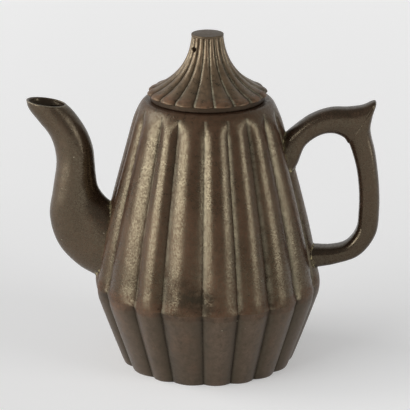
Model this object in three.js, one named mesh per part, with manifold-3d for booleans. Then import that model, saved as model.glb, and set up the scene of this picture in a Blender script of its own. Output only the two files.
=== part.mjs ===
// A ribbed stoneware teapot, built from the clay pieces that such a pot is luted together from.
// Sizes are millimetres and +Z is up. The origin is the middle of the base, on the table.
// The handle is towards +X and the spout towards -X. The pot and the lid are two loose pieces.

import * as THREE from 'three';
import { mergeVertices } from 'three/addons/utils/BufferGeometryUtils.js';
import Module from 'manifold-3d';

const wasm = await Module();
wasm.setup();

// The lobes that run round the body and the lid. A groove's depth is a share of the crest's radius.
const LOBE_COUNT = 18;
const BODY_LOBE_STEPS = 6;
const LID_LOBE_STEPS = 4;
const FOOT_GROOVE = 0.05;
const EDGE_GROOVE = 0.056;
const LID_RIM_GROOVE = 0.045;
const LID_NECK_GROOVE = 0.075;
const FADE_HEIGHT = 1.5;

// The body, measured on the crests of its lobes
const FOOT_RADIUS = 35.8;
const FOOT_ROUND = 2.4;
const FOOT_TUCK = 0.3;
const FLARE_LEAN = 1.1;
const FLARE_SWELL = 0.3;
const EDGE_RADIUS = 47.1;
const EDGE_HEIGHT = 34.2;
const EDGE_BEND = 9;
const CONE_LEAN = 0.72;
const CONE_SWELL = 1.5;
const SHOULDER_RADIUS = 31.5;
const SHOULDER_DROP = 11.5;
const RING_RADIUS = 26.95;
const MOUTH_HEIGHT = 112.5;
const WALL_THICKNESS = 2.8;
const BASE_THICKNESS = 3.5;

// The ring that is let into the top of the wall, and its bore
const RING_LIP = 1.2;
const RING_DEPTH = 3.2;
const RING_EDGE = 1.75;
const BORE_RADIUS = 20.3;

// The lid, whose collar drops into the bore
const SEAT_GAP = 0.3;
const FLANGE_CLEARANCE = 0.5;
const FLANGE_THICKNESS = 2.4;
const FLANGE_DEPTH = 9;
const FLANGE_BEVEL = 0.6;
const PLATE_INSET = 1.7;
const PLATE_THICKNESS = 2;
const PLATE_BEVEL = 0.3;
const LID_OVERHANG = 1.2;
const LID_RIM_HEIGHT = 0.5;
const LID_RIM_TUCK = 0.1;
const LID_WALL = 2.4;
const CANOPY_HEIGHT = 24.2;
const NECK_RADIUS = 6.5;
const KNOB_OVERHANG = 0.1;
const KNOB_THICKNESS = 1;
const KNOB_BEVEL = 0.25;
const VENT_RADIUS = 1.3;
const VENT_ANGLE = THREE.MathUtils.degToRad(-136);
const VENT_DROP = 4.7;

// The spout, from its root's height on the wall to a lip just under the level of the mouth
const JOINT_GAP = 0.3;
const SPOUT_HEIGHT = 34.5;
const SPOUT_REACH = 27.8;
const SPOUT_DEPTH = 16;
const SPOUT_HALF_WIDTH = 8.2;
const SPOUT_WALL = 2.2;
const LIP_DROP = 1.5;
const LIP_WALL = 1.3;
const LIP_TAPER = 0.15;
const STRAINER_RADIUS = 1.4;
const STRAINER_PITCH = 4.4;
const STRAINER_RISE = 17;

// The handle, from its lower root's height on the wall to a spur level with the mouth
const HANDLE_HEIGHT = 40;
const HANDLE_REACH = 24.1;
const HANDLE_THICKNESS = 8.6;
const HANDLE_HALF_WIDTH = 4.9;
const HANDLE_SQUARENESS = 4;
const SPUR_PROUD = 0.2;

// How finely round things are drawn, and how far a cut runs past what it cuts
const ROUND_STEPS = 48;
const HOLLOW_STEPS = 36;
const SPOUT_SIDES = 20;
const SPOUT_ROWS = 20;
const HANDLE_SIDES = 16;
const HANDLE_ROWS = 41;
const HOLE_SIDES = 10;
const OVERSHOOT = 2;

// Turns a closed geometry into a solid that can be cut and joined.
function solidOf(geometry) {
	const bare = geometry.clone();
	bare.deleteAttribute('normal');
	bare.deleteAttribute('uv');
	const merged = mergeVertices(bare, 1e-4);
	const corners = merged.index.array;
	const faces = [];
	for (let i = 0; i < corners.length; i += 3) {
		const [a, b, c] = [corners[i], corners[i + 1], corners[i + 2]];
		if (a !== b && b !== c && c !== a) faces.push(a, b, c);
	}
	return new wasm.Manifold(new wasm.Mesh({
		numProp: 3,
		vertProperties: new Float32Array(merged.attributes.position.array),
		triVerts: new Uint32Array(faces),
	}));
}

// Turns a solid back into a geometry.
function geometryOf(solid) {
	const mesh = solid.getMesh();
	const geometry = new THREE.BufferGeometry();
	geometry.setAttribute('position', new THREE.BufferAttribute(mesh.vertProperties, 3));
	geometry.setIndex(new THREE.BufferAttribute(mesh.triVerts, 1));
	geometry.computeVertexNormals();
	return geometry;
}

// Skins a row of equal rings and closes both ends with a fan round the ring's middle.
function loftSolid(rings) {
	const sides = rings[0].length;
	const points = rings.flat();
	const faces = [];
	for (let row = 0; row < rings.length - 1; row++) {
		for (let side = 0; side < sides; side++) {
			const next = (side + 1) % sides;
			const [a, b] = [row * sides + side, row * sides + next];
			const [c, d] = [a + sides, b + sides];
			faces.push(a, b, d, a, d, c);
		}
	}
	for (const [row, turned] of [[0, true], [rings.length - 1, false]]) {
		const middle = points.length;
		const sum = rings[row].reduce((total, point) => total.add(point), new THREE.Vector3());
		points.push(sum.divideScalar(sides));
		for (let side = 0; side < sides; side++) {
			const [a, b] = [row * sides + side, row * sides + (side + 1) % sides];
			faces.push(middle, turned ? b : a, turned ? a : b);
		}
	}
	const geometry = new THREE.BufferGeometry().setFromPoints(points);
	geometry.setIndex(faces);
	return solidOf(geometry);
}

// Revolves a closed profile of [radius, height] points about the pot's axis.
function revolve(profile, steps = ROUND_STEPS) {
	const points = profile.map(([radius, height]) => new THREE.Vector2(radius, height));
	return solidOf(new THREE.LatheGeometry(points, steps).rotateX(Math.PI / 2));
}

// The radius of a lobed section at an angle. Each lobe is an arc that meets its neighbours in a sharp
// groove, and the groove lies deeper than the crest by a share of the crest's radius.
function lobeRadius(crest, groove, angle, firstCrest) {
	const pitch = 2 * Math.PI / LOBE_COUNT;
	const fromCrest = angle - firstCrest;
	const swing = fromCrest - pitch * Math.round(fromCrest / pitch);
	if (groove < 1e-4) return crest;
	const grooveRadius = crest * (1 - groove);
	const drop = crest - grooveRadius * Math.cos(pitch / 2);
	const half = grooveRadius * Math.sin(pitch / 2);
	const arc = (drop * drop + half * half) / (2 * drop);
	const centre = crest - arc;
	return centre * Math.cos(swing) + Math.sqrt(arc * arc - (centre * Math.sin(swing)) ** 2);
}

// One level ring of a lobed wall.
function lobedRing({ crest, height, groove }, { steps, firstCrest = 0, grow = 0 }) {
	const count = LOBE_COUNT * steps;
	return Array.from({ length: count }, (_, i) => {
		const angle = firstCrest + 2 * Math.PI * i / count;
		const radius = lobeRadius(crest, groove, angle, firstCrest) + grow;
		return new THREE.Vector3(radius * Math.cos(angle), radius * Math.sin(angle), height);
	});
}

// Points along a curve of (radius, height), with the groove depth that holds there.
function profileRows(curve, count, grooveAt) {
	return curve.getPoints(count).map((point) => ({
		crest: point.x,
		height: point.y,
		groove: grooveAt(point.y),
	}));
}

const vector = (x, y) => new THREE.Vector2(x, y);
const mix = THREE.MathUtils.lerp;
const ease = THREE.MathUtils.smoothstep;

const wallTop = MOUTH_HEIGHT - RING_LIP;
const shoulderHeight = MOUTH_HEIGHT - SHOULDER_DROP;

// The outline from the base up to the widest line: a round foot, a flare that swells a little, and a bend
// just under the edge.
function lowerRows() {
	const slope = FLARE_LEAN * (EDGE_RADIUS - FOOT_RADIUS) / EDGE_HEIGHT;
	const bendStart = EDGE_HEIGHT - EDGE_BEND / 2;
	const flare = FOOT_RADIUS + slope * bendStart;
	const grooveAt = (height) => mix(FOOT_GROOVE, EDGE_GROOVE, height / EDGE_HEIGHT);
	const onFlare = (height) => {
		const share = height / bendStart;
		return vector(mix(FOOT_RADIUS, flare, share) + 2 * FLARE_SWELL * share * (1 - share), height);
	};
	const foot = profileRows(
		new THREE.QuadraticBezierCurve(
			vector(FOOT_RADIUS - FOOT_TUCK, 0), vector(FOOT_RADIUS, 0), onFlare(FOOT_ROUND)),
		2, grooveAt);
	const wall = profileRows(
		new THREE.SplineCurve([0, 0.5, 1].map((share) => onFlare(mix(BASE_THICKNESS, bendStart, share)))),
		2, grooveAt);
	const bend = profileRows(
		new THREE.QuadraticBezierCurve(
			vector(flare, bendStart),
			vector(EDGE_RADIUS, mix(bendStart, EDGE_HEIGHT, 0.55)),
			vector(EDGE_RADIUS, EDGE_HEIGHT)),
		3, grooveAt);
	return { foot, wall: [...wall, ...bend.slice(1)] };
}

// The outline from the widest line up to the mouth ring: a bend, a cone that swells a little, and a round
// shoulder.
function upperRows() {
	const bendEnd = EDGE_HEIGHT + EDGE_BEND;
	const slope = CONE_LEAN * (EDGE_RADIUS - SHOULDER_RADIUS) / (shoulderHeight - EDGE_HEIGHT);
	const cone = EDGE_RADIUS - slope * EDGE_BEND;
	const onCone = (share, swell) =>
		vector(mix(cone, SHOULDER_RADIUS, share) + swell, mix(bendEnd, shoulderHeight, share));
	const grooveAt = (height) => EDGE_GROOVE * (1 - ease(height, wallTop - FADE_HEIGHT, wallTop));
	const bend = profileRows(
		new THREE.QuadraticBezierCurve(
			vector(EDGE_RADIUS, EDGE_HEIGHT),
			vector(EDGE_RADIUS, mix(EDGE_HEIGHT, bendEnd, 0.4)),
			vector(cone, bendEnd)),
		3, grooveAt);
	const straight = profileRows(
		new THREE.CubicBezierCurve(
			onCone(0, 0), onCone(1 / 3, CONE_SWELL), onCone(2 / 3, CONE_SWELL / 5), onCone(1, 0)),
		4, grooveAt);
	const shoulder = profileRows(
		new THREE.QuadraticBezierCurve(
			vector(SHOULDER_RADIUS, shoulderHeight),
			vector(mix(SHOULDER_RADIUS, RING_RADIUS, 0.44), mix(shoulderHeight, wallTop, 0.71)),
			vector(RING_RADIUS, wallTop)),
		6, grooveAt);
	return [...bend, ...straight.slice(1), ...shoulder.slice(1)];
}

const lower = lowerRows();
const upper = upperRows();
const lobed = (rows, options) => loftSolid(rows.map((row) => lobedRing(row, options)));
const body = { steps: BODY_LOBE_STEPS };
const allRows = [...lower.foot, ...lower.wall, ...upper.slice(1)];

// The smooth hollow of the body, left inside the deepest part of the grooves.
const hollowRows = allRows.map(
	({ crest, height, groove }) => [crest * (1 - groove) - WALL_THICKNESS, height]);

function bodyHollow() {
	const floor = -OVERSHOOT;
	const roof = wallTop + OVERSHOOT;
	const [bottom, top] = [hollowRows[0][0], hollowRows[hollowRows.length - 1][0]];
	return revolve([[0, floor], [bottom, floor], ...hollowRows, [top, roof], [0, roof]], HOLLOW_STEPS);
}

// Everything that the body's outside fills, grown a little, for cutting what is luted on to it.
function bodyBlock() {
	return lobed(allRows, { ...body, grow: JOINT_GAP });
}

// A round hole's cutter, from one point to another.
function drill(start, end, radius) {
	const length = start.distanceTo(end);
	const geometry = new THREE.CylinderGeometry(radius, radius, length, HOLE_SIDES);
	const along = new THREE.Vector3().subVectors(end, start).normalize();
	const turn = new THREE.Quaternion().setFromUnitVectors(new THREE.Vector3(0, 1, 0), along);
	geometry.applyQuaternion(turn);
	const middle = start.clone().lerp(end, 0.5);
	geometry.translate(middle.x, middle.y, middle.z);
	return solidOf(geometry);
}

// The holes through the wall behind the spout: one in the middle and six round it.
function strainerDrills() {
	const centre = SPOUT_HEIGHT + STRAINER_RISE;
	const drills = [];
	for (let hole = 0; hole < 7; hole++) {
		const angle = hole * Math.PI / 3 + Math.PI / 2;
		const reach = hole === 6 ? 0 : STRAINER_PITCH;
		const y = reach * Math.cos(angle);
		const z = centre + reach * Math.sin(angle);
		const inside = new THREE.Vector3(-BORE_RADIUS, y, z);
		const outside = new THREE.Vector3(-EDGE_RADIUS - OVERSHOOT, y, z);
		drills.push(drill(inside, outside, STRAINER_RADIUS));
	}
	return drills;
}

function baseSlab() {
	return lobed([...lower.foot, lower.wall[0]], body);
}

function lowerWall() {
	return lobed(lower.wall, body).subtract(bodyHollow());
}

function upperWall() {
	let wall = lobed(upper, body).subtract(bodyHollow());
	for (const hole of strainerDrills()) wall = wall.subtract(hole);
	return wall;
}

const mouthRadius = RING_RADIUS - RING_EDGE;

// The ring at the top of the body, with a level seat and a round edge. Its lip lies on the wall, and the
// rest is let into the wall's opening.
function mouthRing() {
	const ringBottom = MOUTH_HEIGHT - RING_DEPTH;
	const beside = hollowRows.filter(([, height]) => height > ringBottom).map(([radius]) => radius);
	const letIn = Math.min(...beside) - JOINT_GAP;
	const edge = new THREE.QuadraticBezierCurve(
		vector(RING_RADIUS, wallTop),
		vector(mix(mouthRadius, RING_RADIUS, 0.5), mix(MOUTH_HEIGHT, wallTop, 0.13)),
		vector(mouthRadius, MOUTH_HEIGHT)).getPoints(4);
	return revolve([
		[BORE_RADIUS, ringBottom],
		[letIn, ringBottom],
		[letIn, wallTop],
		...edge.map((point) => [point.x, point.y]),
		[BORE_RADIUS, MOUTH_HEIGHT],
		[BORE_RADIUS, ringBottom],
	]);
}

// The sections of a limb. Each row gives the outer rail's point as shares of the limb's reach past the
// widest line and of its rise, the step from there to the inner rail as shares of the limb's depth, the
// half width as a share of the limb's, and how much the section narrows towards the outer rail.
function limbStations(rows, { reach, rise, depth }) {
	return rows.map(([along, up, back, over, width, pinch = 0]) => {
		const outer = vector(EDGE_RADIUS + reach * along, rise * up);
		const inner = outer.clone().add(vector(depth * back, depth * over));
		return { outer, inner, width, pinch };
	});
}

// The rings of a limb whose sections span its two rails in the pot's middle plane. Square above 2 squares a
// section off.
function limbRings(stations, { side, base, halfWidth, square = 2, sides, rows, inset = () => 0 }) {
	const rail = (name) => new THREE.CatmullRomCurve3(
		stations.map((station) => new THREE.Vector3(station[name].x, station[name].y, 0)), false, 'centripetal');
	const shares = new THREE.CatmullRomCurve3(
		stations.map(({ width, pinch }) => new THREE.Vector3(width, pinch, 0)));
	const [outer, inner] = [rail('outer'), rail('inner')];
	const round = (value) => Math.sign(value) * Math.abs(value) ** (2 / square);
	return Array.from({ length: rows + 1 }, (_, row) => {
		const t = row / rows;
		const [far, near] = [outer.getPoint(t), inner.getPoint(t)];
		const { x: share, y: pinch } = shares.getPoint(t);
		const centre = far.clone().add(near).divideScalar(2);
		const across = far.clone().sub(near).divideScalar(2);
		across.setLength(across.length() - inset(t));
		return Array.from({ length: sides }, (_, i) => {
			const angle = 2 * Math.PI * i / sides;
			const along = round(Math.cos(angle));
			const wide = round(Math.sin(angle));
			const width = (halfWidth * share - inset(t)) * (1 - pinch * (along + 1) / 2);
			const point = centre.clone().addScaledVector(across, along);
			return new THREE.Vector3(side * point.x, -width * wide, base + point.y);
		});
	});
}

// The spout springs from the wall as a deep oval, swells, narrows and leans out to a cut-off lip.
const SPOUT_SECTIONS = [
	[-0.504, -0.111, -0.344, 2.156, 1.073],
	[-0.101, -0.012, -0.406, 2.006, 1.049],
	[0.263, 0.065, -0.719, 1.875, 1.024],
	[0.558, 0.186, -1.063, 1.556, 1],
	[0.68, 0.346, -1.219, 1.094, 0.988],
	[0.619, 0.51, -1.088, 0.656, 0.976],
	[0.565, 0.673, -0.95, 0.294, 0.927],
	[0.647, 0.795, -0.938, 0.15, 0.878],
	[0.827, 0.884, -0.981, 0.15, 0.841],
	[0.968, 0.954, -1.088, -0.025, 0.827],
	[1, 1, -1.044, -0.163, 0.817],
];

function spout(cutter) {
	const stations = limbStations(SPOUT_SECTIONS, {
		reach: SPOUT_REACH,
		rise: MOUTH_HEIGHT - LIP_DROP - SPOUT_HEIGHT,
		depth: SPOUT_DEPTH,
	});
	const shape = {
		side: -1,
		base: SPOUT_HEIGHT,
		halfWidth: SPOUT_HALF_WIDTH,
		sides: SPOUT_SIDES,
		rows: SPOUT_ROWS,
	};
	const outside = loftSolid(limbRings(stations, shape));
	const lip = stations[stations.length - 1];
	const acrossLip = lip.inner.clone().sub(lip.outer);
	const onward = vector(acrossLip.y, -acrossLip.x).setLength(OVERSHOOT);
	const past = { ...lip, outer: lip.outer.clone().add(onward), inner: lip.inner.clone().add(onward) };
	const lipAt = (stations.length - 1) / stations.length;
	const inset = (t) => mix(SPOUT_WALL, LIP_WALL, ease(t, lipAt - LIP_TAPER, lipAt));
	const channel = loftSolid(limbRings([...stations, past], { ...shape, rows: SPOUT_ROWS + 2, inset }));
	return outside.subtract(channel).subtract(cutter);
}

// The handle is an ear: a splayed upper root, an arch, a pointed spur at the corner, a straight grip and a
// lower root. Its section is a soft square.
const HANDLE_SECTIONS = [
	[-0.871, 0.729, 0.465, -2.209, 1.306],
	[-0.506, 0.839, 0.233, -1.837, 1.204],
	[-0.191, 0.916, -0.244, -1.5, 1.102],
	[0.141, 0.956, -0.453, -1.291, 1.061],
	[0.448, 0.961, -0.721, -1.244, 1.041],
	[0.68, 0.974, -0.872, -1.558, 1.02, 0.12],
	[0.909, 1, -1.291, -2.07, 1, 0.5],
	[0.855, 0.916, -1, -1.628, 1, 0.12],
	[0.822, 0.836, -0.802, -1.279, 1],
	[0.917, 0.688, -0.919, -0.581, 1],
	[0.988, 0.502, -0.977, 0, 1],
	[1, 0.358, -0.988, 0, 1],
	[0.946, 0.217, -0.953, 0.233, 1],
	[0.676, 0.094, -0.698, 0.605, 1.02],
	[0.266, 0.04, -0.279, 0.849, 1.061],
	[-0.062, 0.017, -0.128, 1.035, 1.122],
	[-0.498, -0.017, 0, 1.314, 1.184],
];

function handle(cutter) {
	const stations = limbStations(HANDLE_SECTIONS, {
		reach: HANDLE_REACH,
		rise: MOUTH_HEIGHT + SPUR_PROUD - HANDLE_HEIGHT,
		depth: HANDLE_THICKNESS,
	});
	const rings = limbRings(stations, {
		side: 1,
		base: HANDLE_HEIGHT,
		halfWidth: HANDLE_HALF_WIDTH,
		square: HANDLE_SQUARENESS,
		sides: HANDLE_SIDES,
		rows: HANDLE_ROWS,
	});
	return loftSolid(rings).subtract(cutter);
}

const plateBottom = MOUTH_HEIGHT + SEAT_GAP;
const plateRadius = mouthRadius - PLATE_INSET;
const canopyBottom = plateBottom + PLATE_THICKNESS;
const canopyTop = canopyBottom + CANOPY_HEIGHT;
const lidRadius = plateRadius + LID_OVERHANG;
const flangeRadius = BORE_RADIUS - FLANGE_CLEARANCE;
const flangeBore = flangeRadius - FLANGE_THICKNESS;

// The lid's outline: a short upright rim, a rounded brim and a long hollow curve up to the neck.
function canopyRows() {
	const at = (out, up) => vector(mix(NECK_RADIUS, lidRadius, out), mix(canopyBottom, canopyTop, up));
	const rimTop = canopyBottom + LID_RIM_HEIGHT;
	const brim = at(0.84, 0.098);
	const grooveAt = (height) => mix(LID_RIM_GROOVE, LID_NECK_GROOVE, (height - canopyBottom) / CANOPY_HEIGHT);
	const rim = { crest: lidRadius - LID_RIM_TUCK, height: canopyBottom, groove: grooveAt(canopyBottom) };
	const roll = profileRows(
		new THREE.QuadraticBezierCurve(
			vector(lidRadius, rimTop),
			vector(mix(brim.x, lidRadius, 0.85), mix(rimTop, brim.y, 0.55)),
			brim),
		3, grooveAt);
	const sweep = profileRows(
		new THREE.CubicBezierCurve(brim, at(0.4, 0.27), at(0.07, 0.5), at(0, 1)), 8, grooveAt);
	return [rim, ...roll, ...sweep.slice(1)];
}

// The hollow under the canopy, which runs up into the neck and ends in a cone.
function canopyHollow(rows) {
	const shell = rows
		.map(({ crest, height, groove }) => [crest * (1 - groove) - LID_WALL, height - 0.4 * LID_WALL])
		.filter(([radius, height]) => height + radius < canopyTop - LID_WALL);
	const floor = canopyBottom - OVERSHOOT;
	const [topRadius, topHeight] = shell[shell.length - 1];
	return revolve([[0, floor], [shell[0][0], floor], ...shell, [0, topHeight + topRadius]], HOLLOW_STEPS);
}

// The fluted top of the lid, with a small vent from its hollow out through the neck.
function canopy() {
	const rows = canopyRows();
	const ventHeight = canopyTop - VENT_DROP;
	const start = new THREE.Vector3(0, 0, ventHeight);
	const end = new THREE.Vector3(Math.cos(VENT_ANGLE), Math.sin(VENT_ANGLE), 0).multiplyScalar(lidRadius);
	const vent = drill(start, end.add(start), VENT_RADIUS);
	const firstCrest = Math.PI / LOBE_COUNT;
	return lobed(rows, { steps: LID_LOBE_STEPS, firstCrest }).subtract(canopyHollow(rows)).subtract(vent);
}

// The flat washer that the canopy is luted on to. Its edge shows as a plain band under the scallops.
function lidPlate() {
	return revolve([
		[flangeBore, plateBottom],
		[plateRadius - PLATE_BEVEL, plateBottom],
		[plateRadius, plateBottom + PLATE_BEVEL],
		[plateRadius, canopyBottom],
		[flangeBore, canopyBottom],
		[flangeBore, plateBottom],
	]);
}

// The collar under the lid that keeps it in the mouth.
function lidFlange() {
	const bottom = plateBottom - FLANGE_DEPTH;
	return revolve([
		[flangeBore, bottom],
		[flangeRadius - FLANGE_BEVEL, bottom],
		[flangeRadius, bottom + FLANGE_BEVEL],
		[flangeRadius, plateBottom],
		[flangeBore, plateBottom],
		[flangeBore, bottom],
	]);
}

// The plain disc that caps the neck and serves as the lid's knob.
function knobDisc() {
	const radius = NECK_RADIUS + KNOB_OVERHANG;
	const top = canopyTop + KNOB_THICKNESS;
	return revolve([
		[0, canopyTop],
		[radius, canopyTop],
		[radius, top - KNOB_BEVEL],
		[radius - KNOB_BEVEL, top],
		[0, top],
	], HOLLOW_STEPS);
}

function clay(color, roughness) {
	return new THREE.MeshStandardMaterial({ color, roughness, metalness: 0 });
}

function piece(name, solid, material) {
	const mesh = new THREE.Mesh(geometryOf(solid), material);
	mesh.name = name;
	return mesh;
}

const joint = bodyBlock();

const pot = new THREE.Group();
pot.add(
	piece('base_slab', baseSlab(), clay(0x564b40, 0.6)),
	piece('lower_wall', lowerWall(), clay(0x5c5044, 0.52)),
	piece('upper_wall', upperWall(), clay(0x5a4f3f, 0.42)),
	piece('mouth_ring', mouthRing(), clay(0x574c3d, 0.45)),
	piece('spout', spout(joint), clay(0x544a3c, 0.42)),
	piece('handle', handle(joint), clay(0x564b3d, 0.42)),
);

const lid = new THREE.Group();
lid.add(
	piece('lid_canopy', canopy(), clay(0x625444, 0.45)),
	piece('lid_plate', lidPlate(), clay(0x5b4a3f, 0.5)),
	piece('lid_flange', lidFlange(), clay(0x5b4a3f, 0.6)),
	piece('knob_disc', knobDisc(), clay(0x5e5245, 0.48)),
);

const teapot = new THREE.Group();
teapot.add(pot, lid);

export default teapot;
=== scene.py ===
"""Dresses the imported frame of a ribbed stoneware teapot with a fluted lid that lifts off.

Sizes in the classes are millimetres. Meshes are made in metres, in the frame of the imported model: +Z is up,
the handle is towards +X, the spout towards -X, and the origin is the middle of the base.
"""
import logging
import math
from collections.abc import Sequence
from dataclasses import dataclass, field
from enum import Enum
from functools import cache

import bpy
import numpy as np
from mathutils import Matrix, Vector


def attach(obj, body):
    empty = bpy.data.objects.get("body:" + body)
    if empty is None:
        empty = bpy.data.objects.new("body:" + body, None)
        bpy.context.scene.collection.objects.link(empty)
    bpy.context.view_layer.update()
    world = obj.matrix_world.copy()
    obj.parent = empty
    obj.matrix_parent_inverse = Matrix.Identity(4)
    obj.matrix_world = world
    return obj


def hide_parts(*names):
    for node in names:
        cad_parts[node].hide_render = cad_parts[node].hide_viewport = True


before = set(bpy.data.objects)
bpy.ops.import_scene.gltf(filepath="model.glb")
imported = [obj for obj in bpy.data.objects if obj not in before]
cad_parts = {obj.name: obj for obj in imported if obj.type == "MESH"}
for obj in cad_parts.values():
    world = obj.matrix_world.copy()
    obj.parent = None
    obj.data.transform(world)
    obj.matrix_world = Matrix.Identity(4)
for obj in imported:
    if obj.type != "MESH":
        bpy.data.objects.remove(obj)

LOG = logging.getLogger("teapot")
MM = 0.001
LOBES = 18
PITCH = 2 * math.pi / LOBES

# How finely pieces are drawn: columns from a crest to a groove and how they crowd there, outside rows for
# each inside one, columns of a plain ring, sides of a drill and of a bead, and the angle that stays sharp
HALF_LOBE_COLUMNS, COLUMN_CROWDING = 14, 0.9
INSIDE_STEP = 4
ROUND_COLUMNS = 216
DRILL_SIDES, BEAD_SIDES = 24, 8
SHARP_ANGLE = math.radians(36)

# How finely a lobe, a limb and the wall beside the mouth ring are searched, and the radius, the distance
# and the groove that count as none
LOBE_SAMPLES, ROOT_SAMPLES, RING_SAMPLES = 40, 1201, 20
POLE_RADIUS, SAME_POINT, LEAST_GROOVE = 1e-6, 1e-4, 0.002

# What a turned piece stores for the recipe that presses its lobes
PRESS_INPUTS = ("turn", "groove", "wobble")

Point = tuple[float, float, float]
Colour = tuple[float, float, float]
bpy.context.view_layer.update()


# Curves and outlines

def mix(low: float, high: float, share: float) -> float:
    """Returns the value that lies a share of the way from low to high."""
    return low + (high - low) * share


def ease(value: np.ndarray | float, low: float, high: float) -> np.ndarray | float:
    """Returns a smooth step from 0 at low to 1 at high."""
    share = np.clip((value - low) / (high - low), 0, 1)
    return share * share * (3 - 2 * share)


def bezier(controls: Sequence[tuple[float, float]], count: int) -> np.ndarray:
    """Samples a Bezier curve.

    Args:
        controls: The control points, as (radius, height).
        count: How many segments the samples leave.

    Returns:
        An array of count + 1 points.
    """
    t = np.linspace(0, 1, count + 1)[:, None]
    points = [np.repeat([control], count + 1, axis=0).astype(float) for control in controls]
    while len(points) > 1:
        points = [(1 - t) * a + t * b for a, b in zip(points, points[1:])]
    return points[0]


def filleted(corners: Sequence[tuple[float, float, float]], steps: int = 4) -> np.ndarray:
    """Rounds the corners of an outline.

    Args:
        corners: The corners as (radius, height, fillet); a corner with no fillet stays sharp.
        steps: How many segments each fillet takes.

    Returns:
        The outline's points as (radius, height).
    """
    places = np.array([corner[:2] for corner in corners], float)
    points = []
    for i, (place, (_, _, fillet)) in enumerate(zip(places, corners)):
        if fillet <= 0:
            points.append(place[None])
            continue
        before, after = places[i - 1] - place, places[(i + 1) % len(places)] - place
        start = place + before / np.linalg.norm(before) * fillet
        end = place + after / np.linalg.norm(after) * fillet
        points.append(bezier([start, place, end], steps))
    return np.concatenate(points)


class Rail:
    """A smooth centripetal curve through given points."""

    def __init__(self, points: Sequence[Sequence[float]]) -> None:
        """Keeps the points, with one more before the first and one after the last."""
        inner = np.array(points, float)
        self.points = np.vstack([2 * inner[0] - inner[1], inner, 2 * inner[-1] - inner[-2]])
        self.spans = len(inner) - 1

    def at(self, t: np.ndarray) -> np.ndarray:
        """Finds points on the curve.

        Args:
            t: Shares of the way along it, from 0 to 1, in any shape.

        Returns:
            The points, with one more axis than t.
        """
        place = np.clip(t, 0, 1) * self.spans
        span = np.minimum(np.floor(place).astype(int), self.spans - 1)
        u = (place - span)[..., None]
        p0, p1, p2, p3 = (self.points[span + k] for k in range(4))

        def step(a: np.ndarray, b: np.ndarray, least: np.ndarray | float) -> np.ndarray:
            """Returns the knot spacing between two points, or another value where they coincide."""
            gap = np.sqrt(np.linalg.norm(b - a, axis=-1, keepdims=True))
            return np.where(gap < SAME_POINT, least, gap)

        d1 = step(p1, p2, 1.0)
        d0, d2 = step(p0, p1, d1), step(p2, p3, d1)
        m1 = ((p1 - p0) / d0 - (p2 - p0) / (d0 + d1) + (p2 - p1) / d1) * d1
        m2 = ((p2 - p1) / d1 - (p3 - p1) / (d1 + d2) + (p3 - p2) / d2) * d1
        c2 = -3 * p1 + 3 * p2 - 2 * m1 - m2
        c3 = 2 * p1 - 2 * p2 + m1 + m2
        return p1 + m1 * u + c2 * u ** 2 + c3 * u ** 3


# Meshes

def new_object(name: str, data: bpy.types.ID) -> bpy.types.Object:
    """Makes an object of a mesh, a lamp or a camera, and links it to the scene."""
    obj = bpy.data.objects.new(name, data)
    bpy.context.scene.collection.objects.link(obj)
    return obj


def mesh_object(name: str, points: np.ndarray, faces: Sequence[Sequence[int]]) -> bpy.types.Object:
    """Makes a mesh object from millimetre points, with its closed surface facing outwards.

    Args:
        name: The object's name.
        points: The vertices in millimetres.
        faces: The faces, as indices of vertices.

    Returns:
        The new object, linked to the scene.
    """
    fans = [(face[0], face[i], face[i + 1]) for face in faces for i in range(1, len(face) - 1)]
    a, b, c = points[np.array(fans)].transpose(1, 0, 2)
    if np.einsum("ij,ij->", a, np.cross(b, c)) < 0:
        faces = [tuple(reversed(face)) for face in faces]
    mesh = bpy.data.meshes.new(name)
    mesh.from_pydata((points * MM).tolist(), [], [tuple(int(k) for k in face) for face in faces])
    mesh.validate()
    return new_object(name, mesh)


def smooth(obj: bpy.types.Object) -> None:
    """Shades a mesh smooth, except where its faces meet at a sharp angle."""
    obj.data.shade_smooth()
    obj.data.set_sharp_from_angle(angle=SHARP_ANGLE)


def store(obj: bpy.types.Object, name: str, values: np.ndarray) -> None:
    """Stores one number for each vertex under a name."""
    attribute = obj.data.attributes.get(name) or obj.data.attributes.new(name, "FLOAT", "POINT")
    attribute.data.foreach_set("value", np.ascontiguousarray(values, np.float32))


def vertices_mm(obj: bpy.types.Object) -> np.ndarray:
    """Returns a mesh's vertices in millimetres."""
    flat = np.zeros(len(obj.data.vertices) * 3, np.float32)
    obj.data.vertices.foreach_get("co", flat)
    return flat.reshape(-1, 3).astype(float) / MM


def near(points: np.ndarray, line: np.ndarray, reach: float) -> np.ndarray:
    """Says how near points lie to a line.

    Args:
        points: The points.
        line: Closely spaced points of the line.
        reach: The distance at which nearness has dropped to about a third.

    Returns:
        Values from 0, far away, to 1, on the line.
    """
    nearest = np.full(len(points), np.inf)
    for spot in line:
        nearest = np.minimum(nearest, ((points - spot) ** 2).sum(axis=1))
    return np.exp(-nearest / reach ** 2)


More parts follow.
